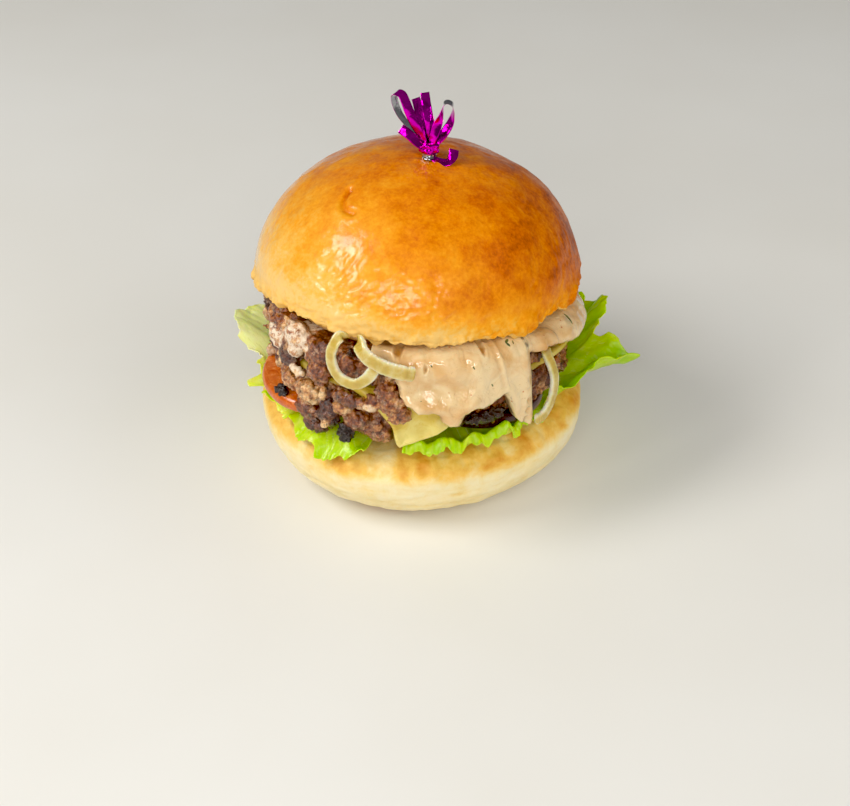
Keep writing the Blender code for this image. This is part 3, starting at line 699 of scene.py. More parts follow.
@dataclass(frozen=True)
class MetallisedFilm(Finish):
    """Polyester film with a bright metal layer, lacquered on one side: a mirror with slight creases."""

    colour: str = "d8d8dc"
    deep: str = "a8a8b0"

    def pattern(self, add: AddNode) -> dict[str, Socket]:
        """Creases that break up the reflections, and a lacquer that is deeper in places."""
        crease = add("TexNoise", {"Roughness": 0.5, "Distortion": 0.7}, size_mm=4.0)
        share = add("MapRange", [crease, 0.35, 0.65])
        return {
            "Base Color": add("Mix", {0: share, 6: self.colour, 7: self.deep}, 2, data_type="RGBA"),
            RELIEF: crease,
        }


@dataclass(frozen=True)
class BirchWood(Finish):
    """Birch turned into a stick: pale, matt, with long fine grain."""

    stops: Stops = ((0.3, "b98f58"), (0.6, "dcb985"), (0.8, "ead0a4"))

    def pattern(self, add: AddNode) -> dict[str, Socket]:
        """Grain about 0.4 mm wide, stretched along the stick."""
        along = add("Mapping", {0: add("TexCoord", output="Object"), "Scale": (1.0, 1.0, 0.06)})
        grain = add("TexNoise", {"Vector": along, "Detail": 3.0}, size_mm=0.5)
        return {"Base Color": add("ValToRGB", [grain], stops=self.stops), RELIEF: grain}


@dataclass(frozen=True)
class ChoppedHerb(Finish):
    """Dill and chive chopped into the sauce: dark green, wet slivers."""

    stops: Stops = ((0.3, "39451a"), (0.7, "6f7838"))

    def pattern(self, add: AddNode) -> dict[str, Socket]:
        """Darker and lighter stretches along each sliver."""
        patch = add("TexNoise", {"Roughness": 0.55}, size_mm=1.0)
        return {"Base Color": add("ValToRGB", [patch], stops=self.stops), RELIEF: patch}


@dataclass(frozen=True)
class PaintedBoard(Finish):
    """A smooth board painted matt off-white, as a plain studio floor."""

    def pattern(self, add: AddNode) -> dict[str, Socket]:
        """A barely visible unevenness of the paint."""
        cloud = add("TexNoise", {"Detail": 3.0, "Roughness": 0.55}, size_mm=180.0)
        share = add("MapRange", [cloud, 0.3, 0.7])
        return {"Base Color": add("Mix", {0: share, 6: "e6e5e0", 7: "e1dfd8"}, 2, data_type="RGBA")}


# The burger's parts


@dataclass
class BunCrown:
    """The upper half of the bun: a high dome of glazed crust, wrinkled at the lower front, with a torn edge."""

    radius: float = 0.0553
    cut_radius: float = 0.0530
    edge: float = 0.0026
    dome: float = 0.0440
    power: float = 2.02
    shift: tuple[float, float] = (-0.0014, 0.0012)
    round_error: float = 0.0016
    columns: int = 480
    edge_rows: int = 22
    dome_rows: int = 150
    pick: tuple[float, float] = (0.0030, -0.0055)
    ride_up: float = 0.0034
    nick_width: float = 0.0009

    def profile(self) -> list[tuple[float, float, float]]:
        """Radius, height and out-of-roundness from the middle of the cut face to the top."""
        rows = [(self.cut_radius * k / 8, CROWN_CUT, 0.0) for k in range(1, 8)]
        for k in range(self.edge_rows + 1):
            turn = math.pi / 2 * k / self.edge_rows
            radius = self.cut_radius + (self.radius - self.cut_radius) * math.sin(turn)
            rows.append((radius, CROWN_CUT + self.edge * (1 - math.cos(turn)), self.round_error))
        for k in range(1, self.dome_rows + 1):
            turn = math.pi / 2 * k / (self.dome_rows + 0.3)
            radius = self.radius * math.cos(turn) ** (2 / self.power)
            height = CROWN_CUT + self.edge + self.dome * math.sin(turn) ** (2 / self.power)
            rows.append((radius, height, self.round_error))
        return rows

    def wrinkles(self, points: Array, angle: Array, height: Array) -> Array:
        """The creases of the skin over the lower front, slanting on the left and upright on the right."""
        along = np.radians(angle) * self.radius
        total = np.zeros(len(points))
        for middle, half, tilt, long, short, depth, seed in (
            (-112, 34, 40, 0.015, 0.0034, 0.00080, 3),
            (-66, 38, 68, 0.012, 0.0042, 0.00070, 5),
            (-150, 30, 55, 0.018, 0.0048, 0.00030, 8),
            (-25, 30, 75, 0.016, 0.0050, 0.00040, 9),
            (80, 95, 80, 0.018, 0.0055, 0.00035, 12),
        ):
            lean_by = math.radians(tilt)
            u = along * math.cos(lean_by) + height * math.sin(lean_by)
            v = -along * math.sin(lean_by) + height * math.cos(lean_by)
            v = v + 0.0012 * wander(points, 0.006, seed + 30, 2)
            spot = np.stack([u / long, v / short, np.full_like(u, seed * 1.7)], axis=-1)
            fold = 1 - np.abs(wander(spot, 1.0, seed, 2)) * 2.6
            patch = eased(0.45 + 1.3 * wander(points, 0.012, seed + 31))
            spread = within(signed(angle), middle, half) * eased((height - 0.0715) / 0.006) * patch
            total -= depth * np.clip(fold, 0, 1) ** 1.6 * spread * eased((0.1010 - height) / 0.016)
        return total

    def dimple(self, points: Array) -> tuple[Array, Array]:
        """A curved nick in the upper left of the dome, and the lip beside it, each from 0 to 1."""
        route = np.array([(-0.0226, -0.0190), (-0.0246, -0.0226), (-0.0240, -0.0262), (-0.0212, -0.0286)])
        route = smooth_path(np.column_stack([route, np.zeros(len(route))]), 16)[:, :2]
        away = np.min(np.linalg.norm(points[:, None, :2] - route[None], axis=2), axis=1)
        nick = np.exp(-((away / self.nick_width) ** 2)) * (points[:, 2] > 0.09)
        lip = np.exp(-(((away - 0.0022) / 0.0012) ** 2)) * (points[:, 2] > 0.09)
        return nick, lip

    def build(self, crust: Material) -> None:
        """Makes the crown.

        Args:
            crust: Its finish.
        """
        angles = 360 * np.arange(self.columns) / self.columns
        rough = out_of_round(angles, 9.0, 1.0)
        rows = np.array(self.profile())
        radius = rows[:, :1] * (1 + rough[None] * rows[:, 2:] / BUN_RADIUS)
        grid = polar(angles[None], radius, rows[:, 1:2]) + np.array([*self.shift, 0.0])
        normal = facing(grid).reshape(-1, 3)
        points = grid.reshape(-1, 3)
        angle, height = np.tile(angles, len(rows)), points[:, 2]
        flat = eased((rows[:, 0] / 0.012))[:, None].repeat(self.columns, axis=1).ravel()
        outer = eased((np.hypot(points[:, 0], points[:, 1]) - 0.044) / 0.006)
        torn = eased((0.0762 - height) / 0.0070) * outer
        scallop = wander(polar(angles, self.radius, 0.0), 0.0135, 21, 2)[None].repeat(len(rows), axis=0).ravel()
        lift = 0.00045 * wander(points, 0.021, 31) + 0.00018 * wander(points, 0.008, 32, 2)
        lift += torn * (0.0010 * wander(points, 0.0036, 33, 3) + 0.0009 * scallop)
        # The skin over the lower left is finely crinkled, which breaks up the window's reflection
        crinkled = within(signed(angle), -118, 62) * eased((height - 0.0715) / 0.006) * eased((0.1020 - height) / 0.014)
        ridge = 1 - np.abs(wander(points, 0.0046, 35, 2)) * 2.4
        lift += crinkled * (0.00022 * np.clip(ridge, 0, 1) + 0.00014 * wander(points, 0.0024, 36, 2))
        nick, lip = self.dimple(points)
        lift += self.wrinkles(points, angle, height) + (0.0002 * lip - 0.0011 * nick) * flat
        away = np.hypot(points[:, 0] - self.pick[0], points[:, 1] - self.pick[1])
        puckered = 0.5 + 0.5 * np.cos(7 * np.arctan2(points[:, 1] - self.pick[1], points[:, 0] - self.pick[0]))
        on_top = height > 0.095
        lift -= on_top * (0.0012 * np.exp(-((away / 0.0015) ** 4)) + 0.0006 * np.exp(-((away / 0.0045) ** 2)))
        lift += on_top * 0.00035 * puckered * np.exp(-(((away - 0.0042) / 0.0018) ** 2))
        # The torn rim hangs a little lower in places
        moved = points + normal * lift[:, None]
        ragged = 0.0006 * wander(polar(angle, self.radius, 0.0), 0.0026, 37, 2)
        moved[:, 2] -= torn * eased((0.0715 - height) / 0.004) * (0.0009 * scallop + ragged)
        # It rides up over the lumps of mince at the front left
        moved[:, 2] += self.ride_up * within(signed(angle), -135, 48) * eased((0.090 - height) / 0.020) * outer
        values = self.shades(points, torn, lift, nick)
        shape = grid.shape[:2]
        shell = Shell.stacked(lean(moved).reshape(grid.shape), **{k: v.reshape(shape) for k, v in values.items()})
        shell.show("bun_crown_crust", Slot.CRUST, ["bun_crown"], crust)

    def shades(self, points: Array, torn: Array, lift: Array, nick: Array) -> dict[str, Array]:
        """How dark the crust is baked, with painted light and shade laid over it, and how glazed it is, point by point.

        Args:
            points: The points before the stack leans.
            torn: 1 at the torn edge.
            lift: How far relief has raised each point.
            nick: 1 in the nick.

        Returns:
            The values named bake and glaze.
        """
        share = np.clip((points[:, 2] - CROWN_CUT - 0.003) / 0.043, 0, 1)
        x, y = points[:, 0] / self.radius, points[:, 1] / self.radius
        bake = 0.13 + 0.35 * eased(share / 0.30) + 0.23 * share
        # Paler to the left and the front, darker to the right and the back: painted light and shade from the lamps at
        # the left and front
        bake += np.where(x < 0, 0.54 * (1 - 0.45 * share), 0.50 * (1 - 0.75 * share)) * x + 0.10 * y
        bake += 0.10 * wander(points, 0.014, 41, 2) + 0.05 * wander(points, 0.004, 42, 2) + 0.22 * nick
        bake -= 0.10 * torn + 90 * np.clip(-lift, 0, 0.0006) * (share < 0.45)
        bake += torn * (0.12 * wander(points, 0.0022, 45, 2) + 0.16 * np.clip(x + 0.3, 0, 1))
        # The skin has crackled in front of the pick: its pale streaks are painted, both the crackle and the glints on
        # it
        away = np.hypot(points[:, 0] - self.pick[0] + 0.002, points[:, 1] - self.pick[1] + 0.006)
        crackle_glints = np.clip(1 - np.abs(wander(points, 0.0026, 44, 2)) * 7, 0, 1) * np.exp(-((away / 0.0048) ** 2))
        bake -= 0.40 * crackle_glints * (points[:, 2] > 0.1)
        under = points[:, 2] < CROWN_CUT + 0.0006
        glaze = eased((share - 0.02) / 0.16) * (1 - torn)
        glaze *= (0.8 + 0.25 * wander(points, 0.011, 43, 2)) * (1 - 0.55 * eased((x - 0.15) / 0.6))
        return {"bake": np.where(under, 0.03, np.clip(bake, 0.0, 0.97)), "glaze": np.clip(glaze, 0, 1)}


@dataclass
class BunHeel:
    """The lower half of the bun: a pale full side, a toasted shoulder and a flat base."""

    base_radius: float = 0.036
    top_radius: float = 0.044
    widest: float = 0.021
    round_error: float = 0.0022
    columns: int = 320
    side_rows: int = 44
    shoulder_rows: int = 30

    def profile(self) -> list[tuple[float, float, float]]:
        """Radius, height and out-of-roundness from the base to the middle of the top."""
        rows = [(self.base_radius * k / 6, 0.0, 0.0) for k in range(1, 7)]
        for k in range(1, self.side_rows + 1):
            turn = math.pi / 2 * k / self.side_rows
            radius = self.base_radius + (BUN_RADIUS - self.base_radius) * math.sin(turn) ** 0.95
            rows.append((radius, self.widest * (1 - math.cos(turn) ** 0.95), self.round_error))
        for k in range(1, self.shoulder_rows + 1):
            turn = math.pi / 2 * k / self.shoulder_rows
            radius = self.top_radius + (BUN_RADIUS - self.top_radius) * math.cos(turn) ** 0.8
            height = self.widest + (HEEL_TOP - self.widest) * math.sin(turn) ** 1.1
            rows.append((radius, height, self.round_error))
        rows += [(self.top_radius * (1 - k / 6), HEEL_TOP, 0.0) for k in range(1, 6)]
        return rows

    def build(self, crust: Material) -> None:
        """Makes the heel.

        Args:
            crust: Its finish.
        """
        angles = 360 * np.arange(self.columns) / self.columns
        rough = out_of_round(angles, 4.0, 1.0)
        rows = np.array(self.profile())
        radius = rows[:, :1] * (1 + rough[None] * rows[:, 2:] / BUN_RADIUS)
        grid = polar(angles[None], radius, rows[:, 1:2])
        normal = facing(grid).reshape(-1, 3)
        points = grid.reshape(-1, 3)
        angle, height = np.tile(angles, len(rows)), points[:, 2]
        outer = eased((np.hypot(points[:, 0], points[:, 1]) - 0.038) / 0.006) * eased(height / 0.003)
        lift = 0.00055 * wander(points, 0.019, 51) + 0.00022 * wander(points, 0.006, 52, 2)
        # Long shallow creases run round the side, and the toasted shoulder is dimpled
        around = np.stack([np.radians(angle) * BUN_RADIUS / 0.020, height / 0.0036, np.full_like(height, 2.0)], -1)
        fold = np.clip(1 - np.abs(wander(around, 1.0, 53, 2)) * 2.4, 0, 1) ** 2
        lift -= 0.00075 * fold * within(height, 0.011, 0.009)
        lift += 0.0004 * wander(points, 0.0030, 54, 2) * eased((height - 0.0215) / 0.004)
        points = points + normal * (lift * outer)[:, None]
        share = height / HEEL_TOP
        toasting = wander(polar(angle, BUN_RADIUS, height), 0.009, 55, 3)
        toast = eased((height - 0.0190) / 0.0060) * (0.52 + 0.28 * toasting)
        scorch = within(signed(angle), -108, 26) * eased((0.0036 - height) / 0.0030) * 0.55
        rim = 0.20 * eased((0.0025 - height) / 0.0025)
        # Darker along the folds of the side creases: painted shade in the creases
        bake = 0.13 + toast * 0.75 + scorch + rim + 0.10 * wander(points, 0.012, 56, 2) + 0.10 * fold * (share < 0.7)
        values = {"bake": np.clip(bake, 0, 1).reshape(grid.shape[:2])}
        Shell.stacked(lean(points).reshape(grid.shape), **values).show(
            "bun_heel_crust", Slot.PALE_CRUST, ["bun_heel"], crust
        )


@dataclass
class Layers:
    """The levels and outlines that the layers share, before the stack leans."""

    tomato_low: float = 0.0353
    tomato_thickness: float = 0.0044
    lower_low: float = 0.0401
    lower_top: float = 0.0499
    cheese_low: float = 0.0507
    cheese_thickness: float = 0.0022
    upper_low: float = 0.0533
    upper_top: float = 0.0634
    upper_slope: float = -0.03
    sauce_top: float = 0.0668
    cheese_side: float = 0.0915
    cheese_turn: float = -90.5
    cheese_shift: float = 0.0070
    cheese_edge_radius: float = 0.0511
    cheese_bend: float = 0.0030
    sauce_hem: tuple[tuple[float, float], ...] = (
        (-107, 0.0668), (-104, 0.0648), (-101.7, 0.0630), (-98.8, 0.0604), (-97.2, 0.0572), (-96.0, 0.0538),
        (-93.7, 0.0518), (-90.1, 0.0490), (-86, 0.0490), (-84, 0.0486), (-82.9, 0.0462), (-80.8, 0.0448),
        (-77.7, 0.0450), (-75.4, 0.0482), (-73, 0.0492), (-69.1, 0.0483), (-65.7, 0.0482), (-63.4, 0.0495),
        (-60.5, 0.0506), (-59.2, 0.0482), (-58.3, 0.0445), (-57.5, 0.0408), (-56.4, 0.0388), (-54.6, 0.0376),
        (-53.0, 0.0381), (-52.1, 0.0402), (-51.5, 0.0460), (-51.0, 0.0540), (-50.4, 0.0600), (-47, 0.0600),
        (-44, 0.0606),
        (-42, 0.0614), (-39.5, 0.0610), (-36, 0.0598), (-32.8, 0.0580), (-28, 0.0568), (-23.3, 0.0562),
        (-15, 0.0554), (-6.6, 0.0550), (-2, 0.0582), (2, 0.0650), (5, 0.0700),
    )

    def slice_reach(self, angle: Array) -> Array:
        """How far the cheese slice goes from the axis at each angle."""
        towards = polar(angle, 1.0, 0.0)
        middle = polar(self.cheese_turn, self.cheese_shift, 0.0)
        reach = np.full(np.shape(angle), np.inf)
        for side in range(4):
            normal = polar(self.cheese_turn + 45 + 90 * side, 1.0, 0.0)
            ahead = towards @ normal
            limit = (self.cheese_side / 2 + middle @ normal) / np.where(ahead > 0.01, ahead, 1.0)
            reach = np.where(ahead > 0.01, np.minimum(reach, limit), reach)
        return reach

    def covered(self, angle: Array, height: Array) -> Array:
        """Whether cheese or sauce hangs over the patties, from 0 to 1."""
        turn = signed(angle)
        hem = np.minimum(through(self.sauce_hem, turn)[..., 0], self.upper_top - 0.002)
        inside = (turn > self.sauce_hem[0][0] - 4) & (turn < self.sauce_hem[-1][0] + 4)
        under_sauce = inside * eased((height - hem) / 0.004 + 1)
        past = self.slice_reach(angle) - self.cheese_edge_radius
        hang = self.cheese_low - np.maximum(past - self.cheese_bend * 0.6, 0.0)
        under_cheese = eased(past / 0.002 + 1) * eased((height - hang) / 0.004 + 1)
        low = height < self.cheese_low + self.cheese_thickness
        return np.maximum(under_sauce, np.where(low, under_cheese, 0.0))


@dataclass(frozen=True)
class Lump:
    """A lump of mince that stands out where it is seen: its middle as angle, radius and height over the floor in
    millimetres, its half sizes round, outwards and upwards, and its shade, char and sauce film."""

    angle: float
    radius: float
    height: float
    size: tuple[float, float, float]
    tone: float
    char: float = 0.0
    film: float = 0.0


@dataclass
class Patty:
    """A hand-pressed patty of coarse mince: a pressed core with hundreds of lumps and crumbs fused to its rim."""

    name: str
    low: float
    high: float
    slope: float
    seed: int
    sag: tuple[float, float, float]
    lumps: tuple[Lump, ...]
    layers: Layers
    radius: float = 0.0512
    edge_power: float = 3.4
    lump_size: float = 0.0095
    lump_height: float = 0.0034
    voxel: float = 0.00056
    rim_lumps: int = 230
    rim_strands: int = 200
    rim_crumbs: int = 620
    hidden_radius: float = 0.0400

    def surface(self, angle: Array, turn: Array) -> Array:
        """Points of the outline: turn is -90 degrees at the lower edge and 90 at the upper one."""
        across, up = np.cos(turn), np.sin(turn)
        radius = self.radius - 0.006 * (1 - across ** (2 / self.edge_power))
        half = (self.high - self.low) / 2
        height = (self.low + self.high) / 2 + half * np.sign(up) * np.abs(up) ** (2 / self.edge_power)
        spot = polar(angle, radius, height)
        lump = cells(spot, self.lump_size, self.seed)
        hidden = 1 - 0.75 * self.layers.covered(angle, height)
        relief = (self.lump_height * lump - 0.0012) * hidden
        spot = polar(angle, radius + relief * across**0.5, height)
        return self.settled(spot)

    def settled(self, spot: Array) -> Array:
        """The points once the patty slopes and its rim sags."""
        spot = spot.copy()
        share = (spot[..., 2] - self.low) / (self.high - self.low)
        spot[..., 2] += self.slope * spot[..., 0] * share
        middle, half, depth = self.sag
        turn = np.degrees(np.arctan2(spot[..., 1], spot[..., 0]))
        outer = eased((np.hypot(spot[..., 0], spot[..., 1]) - 0.044) / 0.003)
        spot[..., 2] -= depth * within(turn, middle, half) * outer * (1 - eased(share))
        return spot

    def core(self) -> Shell:
        """The pressed middle, a little inside the outline."""
        angles = np.linspace(0, 360, 120, endpoint=False)
        turns = np.linspace(-0.999, 0.999, 12) * math.pi / 2
        rim = self.surface(angles[None], turns[:, None])
        middle = np.array([0, 0, (self.low + self.high) / 2])
        rim = middle + (rim - middle) * np.array([0.955, 0.955, 0.86])
        inner = [ring * [0.5, 0.5, 0] + [0, 0, ring[:, 2].mean()] for ring in (rim[0], rim[-1])]
        return Shell.stacked(lean(np.concatenate([inner[:1], rim, inner[1:]])))

    def scattered(self) -> list[tuple[Array, Array, Array, float, float, float]]:
        """The lumps and crumbs of the rim: middle, half sizes, turn, shade, char and film."""
        rng = np.random.default_rng(self.seed)
        found = []
        for count, small, big, long in (
            (self.rim_lumps, 0.0020, 0.0042, 1.0),
            (self.rim_strands, 0.0008, 0.0013, 3.2),
            (self.rim_crumbs, 0.0007, 0.0015, 1.3),
        ):
            angles = rng.uniform(-180, 180, count)
            turns = np.arcsin(rng.uniform(-0.97, 0.97, count))
            sizes = small + (big - small) * rng.power(1.4, count)
            spots = self.surface(angles, turns)
            hidden = self.layers.covered(angles, spots[:, 2])
            for angle, spot, size, cover in zip(angles, spots, sizes, hidden):
                shape = size * rng.uniform(0.7, 1.35, 3) * (long, 1, 1)
                sunk = size * (rng.uniform(0.35, 0.95) + 0.35 * cover)
                inward = spot - np.array([*(spot[:2] / np.hypot(*spot[:2]) * sunk), 0.0])
                level = np.clip((inward[2] - self.low) / (self.high - self.low), 0, 1)
                inward[2] += (0.5 - level) * size * 0.7
                tone = np.clip(rng.normal(0.46, 0.20), 0.08, 0.95)
                char = float(rng.random() < 0.10) * rng.uniform(0.5, 1.0) * (level < 0.45 or rng.random() < 0.3)
                if long > 2 and rng.random() < 0.22:  # a strand of fat or sinew
                    tone, char = rng.uniform(0.85, 1.0), 0.0
                found.append((lean(inward), shape, rng.uniform(0, 2 * math.pi, 3), tone, char, 0.0))
        return found

    def placed(self) -> list[tuple[Array, Array, Array, float, float, float]]:
        """The lumps that have a place of their own, each as a cluster of smaller ones."""
        rng = np.random.default_rng(self.seed + 100)
        found = []
        for lump in self.lumps:
            level = level_of(lump.angle, lump.radius * MM, lump.height * MM)
            middle = polar(lump.angle, lump.radius * MM, level)
            outward = polar(lump.angle, 1.0, 0.0)
            round_to = polar(lump.angle + 90, 1.0, 0.0)
            size = np.array(lump.size) * MM
            small = max(min(lump.size) * 0.30, 0.75) * MM * (1 - 0.25 * (lump.char > 0.8))
            count = int(10 + 6 * np.prod(size) ** (2 / 3) / small**2)
            inner = size * (0.80 - 0.45 * (lump.char > 0.8))
            core = [(middle, inner, np.array([0, 0, math.radians(lump.angle + 90)]), lump.tone)]
            for _ in range(count):
                way = rng.normal(size=3)
                way /= np.linalg.norm(way)
                spot = middle + (round_to * way[0] * size[0] + outward * way[1] * size[1]) * 0.80
                spot[2] += way[2] * size[2] * 0.80
                shape = small * rng.uniform(0.65, 1.35, 3) * (1.7 if rng.random() < 0.25 else 1.0, 1, 1)
                tone = np.clip(lump.tone + rng.normal(0, 0.11), 0.03, 0.97)
                core.append((spot, shape, rng.uniform(0, 2 * math.pi, 3), tone))
            found += [(spot, shape, turn, tone, lump.char, lump.film) for spot, shape, turn, tone in core]
        return found

    def remeshed(self, lumps: list[tuple]) -> tuple[Array, Array, list]:
        """The core and the lumps as one skin of even small faces.

        Args:
            lumps: What scattered() and placed() give.

        Returns:
            Its points, their normals and its faces.
        """
        ball = bmesh.new()
        bmesh.ops.create_icosphere(ball, subdivisions=2, radius=1.0)
        unit = np.array([v.co[:] for v in ball.verts])
        unit_faces = [[v.index for v in f.verts] for f in ball.faces]
        ball.free()
        shells = [self.core()]
        for spot, shape, turn, *_ in lumps:
            turned = np.array(Euler(turn).to_matrix())
            shells.append(Shell(spot + (unit * shape) @ turned.T, unit_faces, {}))
        rough = bpy.data.objects.new("rough", Shell.joined(shells).mesh("rough"))
        bpy.context.scene.collection.objects.link(rough)
        skin = rough.modifiers.new("skin", "REMESH")
        skin.mode = "VOXEL"
        skin.voxel_size = self.voxel
        skin.adaptivity = 0.0
        graph = bpy.context.evaluated_depsgraph_get()
        made = bpy.data.meshes.new_from_object(rough.evaluated_get(graph))
        # The flat middles lie between other layers, so one face does for each
        body = bmesh.new()
        body.from_mesh(made)
        inner = [f for f in body.faces if all(v.co.xy.length < self.hidden_radius for v in f.verts)]
        bmesh.ops.delete(body, geom=inner, context="FACES")
        bmesh.ops.holes_fill(body, edges=[e for e in body.edges if e.is_boundary], sides=0)
        body.to_mesh(made)
        body.free()
        points = np.empty(len(made.vertices) * 3)
        normals = np.empty_like(points)
        made.vertices.foreach_get("co", points)
        made.vertices.foreach_get("normal", normals)
        faces = [list(f.vertices) for f in made.polygons]
        bpy.data.objects.remove(rough)
        return points.reshape(-1, 3), normals.reshape(-1, 3), faces

    def build(self, beef: Material) -> None:
        """Makes the patty.

        Args:
            beef: Its finish.
        """
        lumps = self.scattered() + self.placed()
        points, normals, faces = self.remeshed(lumps)
        tree = kdtree.KDTree(len(lumps))
        for k, lump in enumerate(lumps):
            tree.insert(lump[0], k)
        tree.balance()
        # Each point takes the shade of the lumps round it, nearest first
        marks = np.array([lump[3:6] for lump in lumps])
        sizes = np.array([lump[1].mean() for lump in lumps])
        values = np.zeros((len(points), 3))
        for k, spot in enumerate(points):
            near = tree.find_n(spot, 3)
            weight = np.array([math.exp(-4 * max(away / sizes[i] - 0.6, 0.0)) + 1e-6 for _, i, away in near])
            values[k] = (marks[[i for _, i, _ in near]] * weight[:, None]).sum(axis=0) / weight.sum()
        coarse = cells(points, 0.0031, self.seed)
        fine = cells(points, 0.0016, self.seed + 1)
        lift = 0.00050 * (coarse - 0.6) + 0.00040 * (fine - 0.6) + 0.00022 * wander(points, 0.0013, self.seed, 2)
        # Charred crumbs are craggy
        burnt = np.clip((values[:, 1] - 0.7) / 0.2, 0, 1)
        crag = cells(points, 0.0021, self.seed + 2)
        lift += burnt * (0.0014 * (crag - 0.6) + 0.0004 * wander(points, 0.0015, self.seed + 3, 2))
        soft = 1 - 0.85 * values[:, 2]
        points = points + normals * (lift * soft)[:, None]
        # Painted shade: the seams between lumps are darkened where shade falls into them, less so under the sauce film
        crack = np.clip((0.50 - coarse) / 0.5, 0, 1) * 0.55 + np.clip((0.50 - fine) / 0.5, 0, 1) * 0.45
        shell = Shell(
            points, faces, {"tone": values[:, 0], "char": values[:, 1], "film": values[:, 2], "crack": crack * soft}
        )
        shell.show(self.name + "_mince", Slot.BEEF, [self.name], beef)


LOWER_LUMPS = (
    Lump(-173.7, 52.0, 41.6, (2.4, 1.8, 2.6), 0.66, 0.0, 0.4),
    Lump(-144.2, 53.0, 49.2, (4.9, 2.6, 3.4), 0.64),
    Lump(-147.9, 55.0, 41.4, (3.3, 1.8, 3.0), 0.05, 1.0),
    Lump(-133.5, 53.4, 50.6, (5.8, 3.0, 4.6), 0.84),
    Lump(-134.9, 53.2, 41.9, (5.6, 2.8, 3.4), 0.40, 0.05),
    Lump(-124.8, 53.0, 44.7, (4.6, 2.8, 5.8), 0.20, 0.35),
    Lump(-130.8, 53.6, 36.6, (5.8, 2.2, 2.1), 0.22, 0.45),
    Lump(-124.6, 55.4, 42.2, (1.4, 1.0, 1.7), 0.88),
    Lump(-117.8, 53.6, 51.6, (3.8, 2.8, 3.0), 0.62),
    Lump(-113.3, 53.0, 46.4, (4.9, 2.8, 4.2), 0.44, 0.1),
    Lump(-116.9, 54.2, 39.8, (3.0, 2.4, 3.4), 0.05, 1.0),
    Lump(-104.3, 51.8, 41.2, (4.0, 2.4, 3.2), 0.52, 0.1),
)
UPPER_LUMPS = (
    Lump(-157.4, 51.0, 59.8, (6.2, 3.4, 4.8), 0.58, 0.0, 1.0),
    Lump(-141.9, 51.0, 69.4, (6.0, 3.4, 5.2), 0.64, 0.0, 1.0),
    Lump(-141.3, 53.0, 64.9, (3.2, 1.8, 2.0), 0.70, 0.0, 1.0),
    Lump(-161.4, 49.8, 67.6, (4.8, 2.2, 3.4), 0.34, 0.15),
    Lump(-173.7, 51.5, 62.4, (1.4, 2.2, 0.6), 0.20, 0.4),
    Lump(-171.0, 50.0, 66.4, (0.8, 0.8, 2.0), 0.20, 0.4),
    Lump(-146.9, 52.2, 57.3, (6.6, 2.4, 2.9), 0.22, 0.4),
    Lump(-139.2, 53.6, 57.2, (3.6, 1.2, 1.2), 0.98, 0.0, 0.9),
    Lump(-127.7, 52.4, 71.5, (4.7, 3.0, 4.4), 0.34),
    Lump(-128.5, 53.2, 62.6, (4.6, 3.0, 5.4), 0.46),
    Lump(-124.7, 55.6, 55.9, (1.0, 0.9, 2.6), 0.95),
    Lump(-115.7, 52.2, 69.7, (3.0, 2.4, 4.2), 0.38),
    Lump(-101.2, 55.2, 65.0, (4.4, 2.6, 3.6), 0.44),
    Lump(-98.8, 55.7, 60.2, (5.2, 2.8, 4.2), 0.52),
    Lump(-96.9, 56.2, 55.8, (4.4, 2.6, 3.4), 0.58),
    Lump(-118.0, 54.6, 57.4, (3.2, 2.4, 2.4), 0.42, 0.15),
    Lump(-113.4, 54.8, 57.2, (3.2, 2.4, 2.2), 0.30, 0.25),
    Lump(-108.9, 55.0, 57.4, (3.4, 2.4, 2.0), 0.50),
    Lump(-105.2, 55.0, 59.2, (3.0, 2.4, 2.8), 0.42),
    Lump(-106.6, 57.0, 58.0, (1.9, 0.8, 0.7), 0.98, 0.0, 0.5),
    Lump(-47.0, 51.4, 54.0, (3.4, 2.4, 7.6), 0.32, 0.2),
    Lump(-34.0, 52.6, 49.6, (4.6, 2.4, 4.0), 0.24, 0.4),
    Lump(-66.0, 52.6, 47.6, (9.0, 1.8, 2.4), 0.12, 0.85),
)


